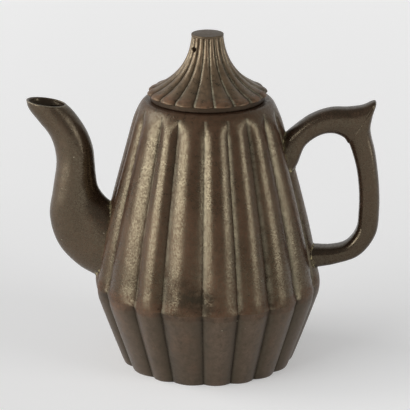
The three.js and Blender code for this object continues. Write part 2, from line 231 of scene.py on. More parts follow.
@dataclass(frozen=True)
class Ring:
    """How the lobes of a piece stand round its axis.

    Attributes:
        first_crest: The angle of the first lobe's crest, in lobes.
        drift: How far each groove stands off its even place, in degrees, from the first one on.
    """

    first_crest: float = 0.0
    drift: tuple[float, ...] = (0.0,)

    def angle(self, turns: np.ndarray) -> np.ndarray:
        """Returns the angles of places that are counted in lobes from the first crest."""
        grooves = np.arange(len(self.drift)) + 0.5
        drift = np.interp(turns, grooves, self.drift, period=LOBES)
        return (self.first_crest + turns) * PITCH + np.radians(drift)

    def share(self, angles: np.ndarray) -> np.ndarray:
        """Returns how far places lie from their lobe's crest: 0 on a crest, 1 in a groove."""
        turns = np.linspace(-1, LOBES + 1, (LOBES + 2) * LOBE_SAMPLES + 1)
        turns = np.interp(np.mod(angles, 2 * math.pi), self.angle(turns), turns)
        return np.abs(turns - np.round(turns)) * 2

    def columns(self) -> np.ndarray:
        """Returns the places of the columns of a lobed piece, closer together near the grooves."""
        share = np.linspace(0, 1, HALF_LOBE_COLUMNS + 1)
        half = np.sin(share * math.pi / 2) ** COLUMN_CROWDING
        one = np.concatenate([-half[:0:-1], half[:-1]]) / 2
        return np.concatenate([lobe + one for lobe in range(LOBES)])


@dataclass(frozen=True)
class Turned:
    """An outline that is turned about the pot's axis, with what the lobes and the hand do to it.

    Attributes:
        rows: The outline as (radius, height); a radius of 0 is a pole.
        groove: The groove's depth at each row, as a share of the radius.
        wobble: How far the hand may push each row off its place, in millimetres.
    """

    rows: np.ndarray
    groove: np.ndarray
    wobble: np.ndarray

    @classmethod
    def plain(cls, rows: np.ndarray) -> "Turned":
        """Returns an outline with no lobes, turned true."""
        return cls(rows, np.zeros(len(rows)), np.zeros(len(rows)))

    def object(self, name: str, turns: np.ndarray, angles: np.ndarray, closed: bool) -> bpy.types.Object:
        """Turns the outline.

        Args:
            name: The object's name.
            turns: The places of its columns, in lobes from the first crest.
            angles: The angles of its columns.
            closed: Whether the last row joins the first, as on a ring.

        Returns:
            The turned object, with turn, groove and wobble stored for each vertex.
        """
        count = len(angles)
        rings, points, turn, groove, wobble = [], [], [], [], []
        for (radius, height), depth, push in zip(self.rows, self.groove, self.wobble):
            start = sum(map(len, points))
            if radius < POLE_RADIUS:
                rings.append(np.full(count, start))
                points.append(np.array([[0.0, 0.0, height]]))
                turn.append(np.zeros(1))
            else:
                turn.append(turns)
                rings.append(start + np.arange(count))
                points.append(np.column_stack([
                    radius * np.cos(angles), radius * np.sin(angles), np.full(count, height)]))
            groove.append(np.full(len(points[-1]), depth))
            wobble.append(np.full(len(points[-1]), push))
        pairs = list(zip(rings, rings[1:]))
        if closed:
            pairs.append((rings[-1], rings[0]))
        faces = []
        for low, high in pairs:
            for i in range(count):
                j = (i + 1) % count
                corners = dict.fromkeys((low[i], low[j], high[j], high[i]))
                if len(corners) > 2:
                    faces.append(tuple(corners))
        obj = mesh_object(name, np.concatenate(points), faces)
        store(obj, "turn", np.concatenate(turn))
        store(obj, "groove", np.concatenate(groove))
        store(obj, "wobble", np.concatenate(wobble) * MM)
        return obj


# Node trees

class Wire:
    """One socket of a node, with the arithmetic that formulas are written in."""

    def __init__(self, tree: "Tree", socket: bpy.types.NodeSocket) -> None:
        """Keeps the socket and the tree that it belongs to."""
        self.tree = tree
        self.socket = socket

    def __add__(self, other: "Wire | float") -> "Wire":
        """Returns this plus the other."""
        return self.tree.math("ADD", self, other)

    __radd__ = __add__

    def __sub__(self, other: "Wire | float") -> "Wire":
        """Returns this less the other."""
        return self.tree.math("SUBTRACT", self, other)

    def __rsub__(self, other: float) -> "Wire":
        """Returns the other less this."""
        return self.tree.math("SUBTRACT", other, self)

    def __mul__(self, other: "Wire | float") -> "Wire":
        """Returns this times the other."""
        return self.tree.math("MULTIPLY", self, other)

    __rmul__ = __mul__

    def __truediv__(self, other: "Wire | float") -> "Wire":
        """Returns this over the other."""
        return self.tree.math("DIVIDE", self, other)

    def __rtruediv__(self, other: float) -> "Wire":
        """Returns the other over this."""
        return self.tree.math("DIVIDE", other, self)

    def __pow__(self, other: "Wire | float") -> "Wire":
        """Returns this to the power of the other."""
        return self.tree.math("POWER", self, other)

    def __rpow__(self, other: float) -> "Wire":
        """Returns the other to the power of this."""
        return self.tree.math("POWER", other, self)

    def __gt__(self, other: "Wire | float") -> "Wire":
        """Returns 1 where this is greater than the other, and 0 elsewhere."""
        return self.tree.math("GREATER_THAN", self, other)

    def __lt__(self, other: "Wire | float") -> "Wire":
        """Returns 1 where this is less than the other, and 0 elsewhere."""
        return self.tree.math("LESS_THAN", self, other)


Value = Wire | float | Sequence[float] | str | bpy.types.ID


class Tree:
    """Adds nodes to a shader or a geometry tree."""

    def __init__(self, tree: bpy.types.NodeTree) -> None:
        """Keeps the tree."""
        self.tree = tree

    def add(self, kind: str, settings: dict[str, object] | None = None,
            inputs: dict[str | int, Value] | None = None, output: str | int = 0) -> Wire:
        """Adds a node.

        Args:
            kind: The node's type.
            settings: The node's own settings, which are set first.
            inputs: Values or wires for its sockets, by name or by index.
            output: The output that is returned, by name or by index.

        Returns:
            The wire of that output, or of the first input of a node that has no output.
        """
        node = self.tree.nodes.new(kind)
        for key, value in (settings or {}).items():
            setattr(node, key, value)
        for key, value in (inputs or {}).items():
            socket = node.inputs[key]
            if isinstance(value, Wire):
                self.tree.links.new(value.socket, socket)
            elif socket.type == "RGBA" and len(value) == 3:
                socket.default_value = (*value, 1)
            else:
                socket.default_value = value
        return Wire(self, node.outputs[output] if len(node.outputs) else node.inputs[0])

    def math(self, operation: str, *values: Wire | float, clamp: bool = False) -> Wire:
        """Adds a Math node on values or wires."""
        settings = {"operation": operation, "use_clamp": clamp}
        return self.add("ShaderNodeMath", settings, dict(enumerate(values)))

    def vector(self, operation: str, *values: Value, output: str | int = 0) -> Wire:
        """Adds a Vector Math node on vectors."""
        return self.add("ShaderNodeVectorMath", {"operation": operation}, dict(enumerate(values)), output)

    def split(self, vector: Wire) -> tuple[Wire, Wire, Wire]:
        """Returns the x, y and z of a vector."""
        x = self.add("ShaderNodeSeparateXYZ", inputs={0: vector})
        return tuple(Wire(self, socket) for socket in x.socket.node.outputs)

    def blend(self, factor: Wire | float, low: Value, high: Value) -> Wire:
        """Mixes two colours, which a Mix node takes at its sockets 6 and 7 and gives at its output 2."""
        settings = {"data_type": "RGBA", "blend_type": "MIX", "clamp_factor": True}
        return self.add("ShaderNodeMix", settings, {0: factor, 6: low, 7: high}, 2)

    def shade(self, colour: Wire, factor: Wire) -> Wire:
        """Multiplies a colour by a number."""
        return self.add("ShaderNodeVectorMath", {"operation": "SCALE"}, {0: colour, 3: factor})

    def attribute(self, name: str) -> Wire:
        """Reads a number that the mesh stores for each vertex."""
        return self.add("ShaderNodeAttribute", {"attribute_name": name}, output="Fac")

    def band(self, value: Wire, low: float, high: float) -> Wire:
        """Returns a smooth step of a value from 0 at low to 1 at high."""
        settings = {"interpolation_type": "SMOOTHSTEP"}
        return self.add("ShaderNodeMapRange", settings, {0: value, 1: low, 2: high})

    def scatter(self, place: Wire, scale: float) -> tuple[Wire, Wire, Wire]:
        """Scatters points through space.

        Args:
            place: The place that the pattern is read at.
            scale: How many points stand along a metre.

        Returns:
            How far off the nearest point is, as a share of their spacing, and two numbers drawn for it.
        """
        nearest = self.add("ShaderNodeTexVoronoi", {"feature": "F1"}, {"Vector": place, "Scale": scale})
        first, second, _ = self.split(Wire(self, nearest.socket.node.outputs["Color"]))
        return nearest, first, second


def blank_tree(owner: bpy.types.Material | bpy.types.World) -> Tree:
    """Empties the node tree of a material or a world, and returns it."""
    owner.use_nodes = True
    owner.node_tree.nodes.clear()
    return Tree(owner.node_tree)


class Recipe:
    """A Geometry Nodes tree with named inputs, which is run on an object and then made a plain mesh."""

    def __init__(self, name: str, inputs: dict[str, str]) -> None:
        """Makes the tree's sockets.

        Args:
            name: The tree's name.
            inputs: The names of the inputs after the geometry, each with its socket type.
        """
        self.group = bpy.data.node_groups.new(name, "GeometryNodeTree")
        self.tree = Tree(self.group)
        face = self.group.interface
        face.new_socket("Geometry", in_out="INPUT", socket_type="NodeSocketGeometry")
        face.new_socket("Geometry", in_out="OUTPUT", socket_type="NodeSocketGeometry")
        self.sockets = {
            key: face.new_socket(key, in_out="INPUT", socket_type="NodeSocket" + kind).identifier
            for key, kind in {**inputs, "Finish": "Material"}.items()}
        self.source = self.group.nodes.new("NodeGroupInput")

    def __getitem__(self, key: str) -> Wire:
        """Returns the wire of a named input."""
        return Wire(self.tree, self.source.outputs[key])

    def stored(self, name: str) -> Wire:
        """Reads a number that the mesh stores for each vertex."""
        return self.tree.add("GeometryNodeInputNamedAttribute", {"data_type": "FLOAT"}, {"Name": name})

    def mark(self, geometry: Wire, name: str, value: Wire) -> Wire:
        """Stores a number for each vertex under a name."""
        return self.tree.add("GeometryNodeStoreNamedAttribute", {"data_type": "FLOAT", "domain": "POINT"}, {
            "Geometry": geometry, "Name": name, "Value": value})

    def noise(self, scale: str, detail: float, output: str | int = 0) -> Wire:
        """Adds a noise over the mesh, with its seed and its scale from named inputs."""
        place = self.tree.add("GeometryNodeInputPosition")
        return self.tree.add("ShaderNodeTexNoise", {"noise_dimensions": "4D"}, {
            "Vector": place, "W": self["Seed"], "Scale": self[scale], "Detail": detail}, output)

    def finish(self, geometry: Wire) -> None:
        """Ends the tree: makes instances real, sets the finish and hands the geometry out."""
        real = self.tree.add("GeometryNodeRealizeInstances", inputs={0: geometry})
        dressed = self.tree.add("GeometryNodeSetMaterial", inputs={
            "Geometry": real, "Material": self["Finish"]})
        sink = self.group.nodes.new("NodeGroupOutput")
        self.group.links.new(dressed.socket, sink.inputs[0])

    def run(self, obj: bpy.types.Object, **values: object) -> bpy.types.Object:
        """Runs the tree on an object and keeps the result as its mesh.

        Args:
            obj: The object, whose mesh is replaced.
            **values: The inputs, with underscores for the spaces in their names.

        Returns:
            The same object.
        """
        modifier = obj.modifiers.new(self.group.name, "NODES")
        modifier.node_group = self.group
        for key, value in values.items():
            modifier[self.sockets[key.replace("_", " ")]] = value
        bpy.context.view_layer.update()
        depsgraph = bpy.context.evaluated_depsgraph_get()
        made = bpy.data.meshes.new_from_object(obj.evaluated_get(depsgraph))
        obj.modifiers.remove(modifier)
        old, obj.data = obj.data, made
        made.name = obj.name
        bpy.data.meshes.remove(old)
        return obj


def lobe_press() -> Recipe:
    """Returns the recipe that presses lobes into a turned piece and gives it its hand-made unevenness."""
    recipe = Recipe("lobe_press", {"Fullness": "Float", "Wobble Scale": "Float", "Seed": "Float"})
    tree = recipe.tree
    x, y, z = tree.split(tree.add("GeometryNodeInputPosition"))
    turn, groove, wobble = (recipe.stored(name) for name in PRESS_INPUTS)
    side = (turn - tree.math("ROUND", turn)) * 2
    share = tree.math("ABSOLUTE", side)
    grooved = groove > LEAST_GROOVE
    press = 1 - groove * share ** recipe["Fullness"]
    drift = tree.vector("SUBTRACT", recipe.noise("Wobble Scale", 1.5, "Color"), (0.5, 0.5, 0.5))
    east, north, _ = tree.split(drift)
    moved = tree.add("ShaderNodeCombineXYZ", inputs={
        0: x * press + east * wobble * 2, 1: y * press + north * wobble * 2, 2: z})
    marked = recipe.mark(recipe["Geometry"], "flute", share * grooved)
    marked = recipe.mark(marked, "side", side * grooved)
    recipe.finish(tree.add("GeometryNodeSetPosition", inputs={"Geometry": marked, "Position": moved}))
    return recipe


def hole_drill() -> Recipe:
    """Returns the recipe that drills a hole, or one hole with a ring of others round it."""
    recipe = Recipe("hole_drill", {
        "Holes": "Int", "Pitch": "Float", "Radius": "Float", "Depth": "Float",
        "Middle": "Vector", "Turn": "Vector"})
    tree = recipe.tree
    index = tree.add("GeometryNodeInputIndex")
    ring = recipe["Holes"] - 1
    angle = index * (2 * math.pi) / tree.math("MAXIMUM", ring, 1) + math.pi / 2
    reach = recipe["Pitch"] * (index < ring)
    spot = tree.add("ShaderNodeCombineXYZ", inputs={
        1: reach * tree.math("COSINE", angle), 2: reach * tree.math("SINE", angle)})
    points = tree.add("GeometryNodePoints", inputs={"Count": recipe["Holes"], "Position": spot})
    bit = tree.add("GeometryNodeMeshCylinder", inputs={
        "Vertices": DRILL_SIDES, "Radius": recipe["Radius"], "Depth": recipe["Depth"]})
    laid = tree.add("GeometryNodeTransform", inputs={"Geometry": bit, "Rotation": (0, math.pi / 2, 0)})
    bits = tree.add("GeometryNodeInstanceOnPoints", inputs={"Points": points, "Instance": laid})
    aimed = tree.add("GeometryNodeTransform", inputs={
        "Geometry": tree.add("GeometryNodeRealizeInstances", inputs={0: bits}),
        "Translation": recipe["Middle"], "Rotation": recipe["Turn"]})
    recipe.finish(tree.add("GeometryNodeMeshBoolean", {"operation": "DIFFERENCE", "solver": "MANIFOLD"}, {
        "Mesh 1": recipe["Geometry"], "Mesh 2": aimed}))
    return recipe


def slip_bead() -> Recipe:
    """Returns the recipe that lays an uneven bead of slip along a line of edges."""
    recipe = Recipe("slip_bead", {
        "Radius": "Float", "Unevenness": "Float", "Lump Scale": "Float", "Seed": "Float"})
    tree = recipe.tree
    line = tree.add("GeometryNodeMeshToCurve", inputs={"Mesh": recipe["Geometry"]})
    lumps = recipe.noise("Lump Scale", 2)
    radius = recipe["Radius"] * (1 + recipe["Unevenness"] * (lumps - 0.5) * 2)
    section = tree.add("GeometryNodeCurvePrimitiveCircle", inputs={"Resolution": BEAD_SIDES, "Radius": 1.0})
    recipe.finish(tree.add("GeometryNodeCurveToMesh", inputs={
        "Curve": line, "Profile Curve": section, "Scale": radius}))
    return recipe


# Finishes

@dataclass(frozen=True)
class Pattern:
    """A noise in the clay.

    Attributes:
        scale: How many of its features stand along a metre.
        detail: How many finer layers it has.
        rough: How strong each finer layer is.
        low: The value at which its patches begin.
        high: The value at which its patches are full.
        shift: How far it is moved, so that it doesn't run with another one.
    """

    scale: float
    detail: float
    rough: float
    low: float = 0.0
    high: float = 1.0
    shift: Point | None = None

    def noise(self, tree: Tree, place: Wire) -> Wire:
        """Returns the noise, which is 0.5 on average."""
        if self.shift:
            place = tree.vector("ADD", place, self.shift)
        return tree.add("ShaderNodeTexNoise", inputs={
            "Vector": place, "Scale": self.scale, "Detail": self.detail, "Roughness": self.rough})

    def patches(self, tree: Tree, place: Wire) -> Wire:
        """Returns its soft patches, from 0 between them to 1 inside."""
        return tree.band(self.noise(tree, place), self.low, self.high)


# The patterns, from the largest to the finest
CLOUDS = Pattern(30, 4, 0.6, 0.36, 0.66)
BLUSH = Pattern(62, 5, 0.62, 0.5, 0.78, (0.3, 0.1, 0.7))
RUBBING = Pattern(85, 3, 0.6, 0.3, 0.62)
LUMPS = Pattern(95, 2, 0.5)
GROOVE_DIRT_AND_SHADE = Pattern(160, 3, 0.6, 0.34, 0.6)
SOOT = Pattern(190, 5, 0.7, 0.3, 0.66)
RAGGED_EDGE = Pattern(210, 3, 0.6)
HIGHLIGHT_LINE_BREAKS = Pattern(260, 3, 0.7, 0.3, 0.55)
MOTTLE = Pattern(330, 4, 0.62, shift=(0.7, 0.2, 0.4))
CRUST = Pattern(420, 3, 0.7, 0.47, 0.62)
SAND = Pattern(620, 2, 0.5)
GRAIN = Pattern(1250, 3, 0.7)

# The colours of what lies on the clay, and of the highlight painted along one edge of each groove
SOOT_COLOUR = (0.024, 0.018, 0.012)
HIGHLIGHT_LINE_COLOUR = (0.30, 0.27, 0.19)
CRUST_COLOUR = (0.36, 0.31, 0.17)
FLECK_COLOUR = (0.3, 0.27, 0.2)

# How strongly the patterns and the spout's stain show in the colour
BLUSH_STRENGTH = 0.55
GRAIN_CONTRAST, SAND_CONTRAST, DARKEST_SPECKLE = 2.6, 0.8, 0.15
FLECK_STRENGTH = 0.75
STAIN_STRENGTH = 0.65

# How they show in the gloss: its roughness, its dull parts' own, and how much of it they make dull
GRAIN_ROUGHNESS, CLOUD_ROUGHNESS, FLECK_ROUGHNESS = 0.2, 0.07, 0.2
LEAST_ROUGHNESS, MOST_ROUGHNESS = 0.2, 0.9
DULL_ROUGHNESS, DULL_INDEX = 0.75, 1.35
MOTTLE_FILM, MOTTLE_FILM_RANGE, GRAIN_FILM_RANGE = 0.2, (0.45, 0.75), (0.4, 0.66)
VALLEY_DULLNESS, RUBBED_DULLNESS = 1.3, 0.45

# How they show in the relief: the coarse grain as a share of the fine, the others in millimetres
COARSE_RELIEF, LUMP_HEIGHT, PIT_DEPTH = 0.8, 0.2, 0.1

# The grooves: the powers by which painted shade and dust grow down their sides, where their bottoms begin,
# how much of the dirt and painted shade there is even, and where the painted highlight along one side lies,
# as shares of the way from the crest
SHADE_CURVE, DUST_CURVE = 2.4, 3
VALLEY_EDGE, EVEN_GROOVE_DIRT_AND_SHADE = 0.86, 0.4
HIGHLIGHT_LINE_RANGE = (0.66, 0.9)

# The cores of rubbed bands and of soiled places, as shares of the half width and of the radius, and how far
# the bands' edges may wander from end to end, in millimetres
BAND_CORE, SPOT_CORE, RAGGED_WIDTH = 0.35, 0.1, 3.2

# The flecks and the pits: how many places for one stand along a metre, their sizes as shares of that
# spacing, and the share of the places that stay empty
FLECK_SCALE, FLECK_SIZE, FLECK_RARITY = 330.0, 0.085, 0.93
PIT_SCALE, PIT_RANGE, PIT_RARITY = 240.0, (0.05, 0.12), 0.88


@dataclass(frozen=True)
class Rubbed:
    """A band round the piece that is rubbed, by its height, half its width and its strength."""

    height: float
    half_width: float
    strength: float


@dataclass(frozen=True)
class Soiled:
    """A place with dark, dull patches, by its middle, its radius and its strength."""

    middle: Point
    radius: float
    strength: float


@dataclass(frozen=True)
class Clay:
    """A fired, unglazed clay: its colours, its gloss, its grain and where it is worn or soiled.

    Attributes:
        name: The material's name.
        dark: The colour of its darker clouds.
        light: The colour of its lighter clouds.
        rust: The reddish brown that shows where it is rubbed.
        roughness: Its mean roughness.
        index: Its index of refraction, which sets how strong its gloss is.
        tint: The colour of its gloss.
        wear: The bands that are rubbed.
        soil: The places that are soiled.
        crease: How strongly a painted highlight lightens one edge of each groove.
        groove_shade: How much darker painted shade makes it towards the bottoms of its grooves.
        valley: How dark and dull the very bottoms of its grooves are; the darkness is painted shade and dirt
            together.
        dust: How much duller it gets down the sides of its grooves.
        pits: How strongly it is pitted.
        mottling: How strongly its colour varies over a few millimetres.
        residue: How strongly the joints show a pale residue.
        grain: How deep its sandy grain is, in millimetres.
        film: How much a dull film breaks its gloss.
    """

    name: str
    dark: Colour
    light: Colour
    rust: Colour
    roughness: float
    index: float = 1.6
    tint: Colour = (1.0, 0.8, 0.54)
    wear: tuple[Rubbed, ...] = ()
    soil: tuple[Soiled, ...] = ()
    crease: float = 0.35
    groove_shade: float = 0.25
    valley: float = 0.3
    dust: float = 0.0
    pits: float = 0.3
    mottling: float = 0.9
    residue: float = 0.6
    grain: float = 0.02
    film: float = 0.5

    @cache
    def material(self) -> bpy.types.Material:
        """Builds the material, once."""
        material = bpy.data.materials.new(self.name)
        tree = blank_tree(material)
        place = tree.add("ShaderNodeTexCoord", output="Object")
        flute = tree.attribute("flute")
        clouds = CLOUDS.patches(tree, place)
        mottle, grain, sand = (pattern.noise(tree, place) for pattern in (MOTTLE, GRAIN, SAND))
        colour = tree.blend(clouds, self.dark, self.light)
        colour = tree.blend(BLUSH.patches(tree, place) * BLUSH_STRENGTH, colour, self.rust)
        colour, rubbed = self.rub(tree, place, colour)
        # Painted highlight along one edge of each groove, and the pale slip residue at the joints
        colour = self.paint_groove_highlights_and_slip(tree, place, colour)
        # Painted shade: the colour darkens towards the bottoms of the grooves, and in their very bottoms with
        # painted shade and dirt in patches
        dirt_and_shade = EVEN_GROOVE_DIRT_AND_SHADE + (1 - EVEN_GROOVE_DIRT_AND_SHADE) * GROOVE_DIRT_AND_SHADE.patches(tree, place)
        valley = tree.band(flute, VALLEY_EDGE, 1.0) * dirt_and_shade
        shade = (1 - flute ** SHADE_CURVE * self.groove_shade) * (1 - valley * self.valley)
        speckle = 1 + (grain - 0.5) * GRAIN_CONTRAST + (sand - 0.5) * SAND_CONTRAST
        speckle = speckle + (mottle - 0.5) * self.mottling
        colour = tree.shade(colour, tree.math("MAXIMUM", speckle, DARKEST_SPECKLE) * shade)
        colour, fleck = self.fleck(tree, place, colour)
        soil = self.soiled(tree, place)
        roughness = self.roughness + (grain - 0.5) * GRAIN_ROUGHNESS + (mottle - 0.5) * GRAIN_ROUGHNESS
        roughness = roughness + (clouds - 0.5) * CLOUD_ROUGHNESS + fleck * FLECK_ROUGHNESS
        roughness = tree.math("MINIMUM", tree.math("MAXIMUM", roughness, LEAST_ROUGHNESS), MOST_ROUGHNESS)
        relief = (grain + sand * COARSE_RELIEF + mottle * COARSE_RELIEF) * self.grain
        relief = relief + LUMPS.noise(tree, place) * LUMP_HEIGHT - self.pit(tree, place) * PIT_DEPTH
        bump = tree.add("ShaderNodeBump", inputs={"Strength": 1.0, "Distance": MM, "Height": relief})
        glossy = self.surface(tree, colour, roughness, self.index, bump)
        dull = self.surface(tree, tree.blend(soil, colour, SOOT_COLOUR), DULL_ROUGHNESS, DULL_INDEX, bump)
        film = tree.band(mottle, *MOTTLE_FILM_RANGE) * MOTTLE_FILM + tree.band(grain, *GRAIN_FILM_RANGE)
        dull_parts = film * self.film + valley * (self.valley * VALLEY_DULLNESS)
        dull_parts = dull_parts + flute ** DUST_CURVE * self.dust + rubbed * RUBBED_DULLNESS
        share = tree.math("ADD", soil, dull_parts, clamp=True)
        mixed = tree.add("ShaderNodeMixShader", inputs={0: share, 1: glossy, 2: dull})
        tree.add("ShaderNodeOutputMaterial", inputs={"Surface": mixed})
        return material

    def surface(self, tree: Tree, colour: Wire, roughness: Wire | float, index: float, bump: Wire) -> Wire:
        """Adds one of the two surfaces that the clay is mixed from.

        Args:
            tree: The material's tree.
            colour: Its colour.
            roughness: Its roughness.
            index: Its index of refraction.
            bump: Its relief, as normals.

        Returns:
            The wire of its shader.
        """
        return tree.add("ShaderNodeBsdfPrincipled", inputs={
            "Base Color": colour, "Roughness": roughness, "IOR": index, "Specular Tint": self.tint,
            "Normal": bump})

    def rub(self, tree: Tree, place: Wire, colour: Wire) -> tuple[Wire, Wire | float]:
        """Rubs the worn bands to reddish brown, and returns the colour and their mask."""
        _, _, height = tree.split(place)
        ragged = (RAGGED_EDGE.noise(tree, place) - 0.5) * (RAGGED_WIDTH * MM)
        patchy = RUBBING.patches(tree, place)
        rubbed = 0.0
        for band in self.wear:
            off = tree.math("ABSOLUTE", height + ragged - band.height * MM) / (band.half_width * MM)
            mask = 1 - tree.band(off, BAND_CORE, 1.0)
            colour = tree.blend(mask * patchy * band.strength, colour, self.rust)
            rubbed = mask * band.strength + rubbed
        return colour, rubbed

    def soiled(self, tree: Tree, place: Wire) -> Wire:
        """Returns a mask of the stained channel and of the dark, dull patches."""
        patches = SOOT.patches(tree, place)
        total = tree.attribute("stain") * STAIN_STRENGTH
        for spot in self.soil:
            middle = tuple(value * MM for value in spot.middle)
            off = tree.vector("DISTANCE", place, middle, output="Value") / (spot.radius * MM)
            total = total + (1 - tree.band(off, SPOT_CORE, 1.0)) * patches * spot.strength
        return total

    def paint_groove_highlights_and_slip(self, tree: Tree, place: Wire, colour: Wire) -> Wire:
        """Paints a highlight along one edge of each groove and lightens the dry slip beside the joints."""
        # Painted highlight: a pale line along the edge of each groove on the side the key light falls on, and
        # along the spout's lip
        line = tree.band(0 - tree.attribute("side"), *HIGHLIGHT_LINE_RANGE) * HIGHLIGHT_LINE_BREAKS.patches(tree, place)
        colour = tree.blend(line * self.crease, colour, HIGHLIGHT_LINE_COLOUR)
        crust = CRUST.patches(tree, place) * tree.attribute("seam") * self.residue
        return tree.blend(crust, colour, CRUST_COLOUR)

    def fleck(self, tree: Tree, place: Wire, colour: Wire) -> tuple[Wire, Wire]:
        """Scatters a few pale mineral flecks, and returns the colour and their mask."""
        away, draw, _ = tree.scatter(place, FLECK_SCALE)
        fleck = (away < FLECK_SIZE) * (draw > FLECK_RARITY)
        return tree.blend(fleck * FLECK_STRENGTH, colour, FLECK_COLOUR), fleck

    def pit(self, tree: Tree, place: Wire) -> Wire:
        """Returns a mask of small pits."""
        away, _, draw = tree.scatter(place, PIT_SCALE)
        return (1 - tree.band(away, *PIT_RANGE)) * (draw > PIT_RARITY) * self.pits


class Finish(Enum):
    """The finishes of the teapot's pieces."""

    BURNISHED = Clay(
        "clay_burnished", tint=(1.0, 0.85, 0.56), dark=(0.031, 0.0145, 0.0080), light=(0.050, 0.0240, 0.0138),
        rust=(0.076, 0.038, 0.023), roughness=0.31, index=1.74, wear=(Rubbed(36.0, 3.4, 0.7),),
        soil=(Soiled((-6.5, -44, 43), 10, 1.0), Soiled((2.5, -46, 40), 9, 1.0),
              Soiled((43, -8, 41), 8, 0.5), Soiled((-20, 40, 42), 10, 0.6)),
        crease=0.4, groove_shade=0.35, grain=0.045, film=0.6)
    LIMB = Clay(
        "clay_limb", tint=(1.0, 0.83, 0.57), dark=(0.021, 0.012, 0.0078), light=(0.033, 0.019, 0.0125),
        rust=(0.056, 0.030, 0.019), roughness=0.27, index=1.9, grain=0.036, film=0.42)
    GRIP = Clay(
        "clay_grip", tint=(1.0, 0.83, 0.57), dark=(0.018, 0.010, 0.0065), light=(0.028, 0.0155, 0.010),
        rust=(0.044, 0.023, 0.014), roughness=0.26, index=1.7, grain=0.04, film=0.45)
    WORN = Clay(
        "clay_worn", dark=(0.044, 0.031, 0.023), light=(0.067, 0.047, 0.035), rust=(0.080, 0.044, 0.028),
        roughness=0.38, index=1.64, wear=(Rubbed(33.2, 2.0, 0.8),), crease=0.12, groove_shade=0.85, pits=0.8,
        mottling=1.3, grain=0.03, film=0.4)
    # Painted light in part: the lid's clay is lighter than the body's, partly for its own redder, matte tone
    # and partly for the light that falls on its upward faces
    LID = Clay(
        "clay_lid", tint=(1.0, 0.81, 0.54), dark=(0.058, 0.037, 0.022), light=(0.096, 0.063, 0.038),
        rust=(0.115, 0.060, 0.035), roughness=0.31, index=2.0, wear=(Rubbed(115.6, 2.6, 0.8),),
        crease=1.0, groove_shade=0.65, dust=0.3, mottling=2.4, grain=0.06, film=0.5)
    # Painted shade: the plate under the canopy's rim gets this darker clay to stand for the shadow there
    SHADED_LID_PLATE = Clay(
        "clay_lid_plate_painted_shade", dark=(0.020, 0.013, 0.009), light=(0.034, 0.021, 0.014), rust=(0.060, 0.030, 0.019),
        roughness=0.5, index=1.45, film=0.6)
    DISC = Clay(
        "clay_disc", dark=(0.046, 0.031, 0.019), light=(0.070, 0.049, 0.030), rust=(0.105, 0.054, 0.031),
        roughness=0.42, index=1.62, grain=0.04, film=0.5)
    SLIP = Clay(
        "slip_dry", dark=(0.030, 0.024, 0.017), light=(0.06, 0.05, 0.03), rust=(0.06, 0.035, 0.02),
        roughness=0.6, residue=1.0)

    @property
    def material(self) -> bpy.types.Material:
        """The finish's material."""
        return self.value.material()

    def dress(self, obj: bpy.types.Object) -> None:
        """Gives an object this finish as its only material."""
        obj.data.materials.clear()
        obj.data.materials.append(self.material)


@dataclass
class Workshop:
    """The recipes that the sub-assemblies share, and the ways to make, dress and fit a piece.

    Attributes:
        press: The recipe for lobes.
        drill: The recipe for holes.
        bead: The recipe for beads of slip.
        wobble_scale: How many waves of the hand's unevenness go to a metre.
        wobble_seed: The seed of that unevenness.
        lump_scale: How many lumps of a bead go to a metre.
        lumpiness: How uneven a bead is, as a share of its radius.
    """

    press: Recipe = field(default_factory=lobe_press)
    drill: Recipe = field(default_factory=hole_drill)
    bead: Recipe = field(default_factory=slip_bead)
    wobble_scale: float = 26.0
    wobble_seed: float = 3.0
    lump_scale: float = 330.0
    lumpiness: float = 0.7

    def lobed(self, name: str, shape: Turned, finish: Finish, ring: Ring, closed: bool,
              fullness: float = 2.0) -> bpy.types.Object:
        """Turns an outline and presses the lobes into it."""
        turns = ring.columns()
        obj = shape.object(name, turns, ring.angle(turns), closed)
        return self.press.run(
            obj, Fullness=fullness, Wobble_Scale=self.wobble_scale, Seed=self.wobble_seed,
            Finish=finish.material)

    def round(self, name: str, outline: np.ndarray, finish: Finish, closed: bool = True) -> bpy.types.Object:
        """Turns a plain outline."""
        turns = np.arange(ROUND_COLUMNS) * LOBES / ROUND_COLUMNS
        obj = Turned.plain(outline).object(name, turns, turns * PITCH, closed)
        finish.dress(obj)
        return obj

    def seam(self, name: str, line: np.ndarray, radius: float, seed: float) -> bpy.types.Object:
        """Lays a bead of slip along a closed line."""
        mesh = bpy.data.meshes.new(name)
        edges = [(i, (i + 1) % len(line)) for i in range(len(line))]
        mesh.from_pydata((line * MM).tolist(), edges, [])
        obj = self.bead.run(
            new_object(name, mesh), Radius=radius * MM, Unevenness=self.lumpiness,
            Lump_Scale=self.lump_scale, Seed=seed, Finish=Finish.SLIP.material)
        store(obj, "seam", np.ones(len(obj.data.vertices)))
        return obj

    def fit(self, obj: bpy.types.Object, body: str, slot: str, *nodes: str) -> None:
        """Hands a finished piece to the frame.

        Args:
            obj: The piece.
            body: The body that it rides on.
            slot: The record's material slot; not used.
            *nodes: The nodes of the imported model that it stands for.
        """
        for spare in PRESS_INPUTS:
            if spare in obj.data.attributes:
                obj.data.attributes.remove(obj.data.attributes[spare])
        smooth(obj)
        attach(obj, body)
        if nodes:
            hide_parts(*nodes)
        obj.data.calc_loop_triangles()
        LOG.info("%s: %d triangles, on %s", obj.name, len(obj.data.loop_triangles), body)


# The pot

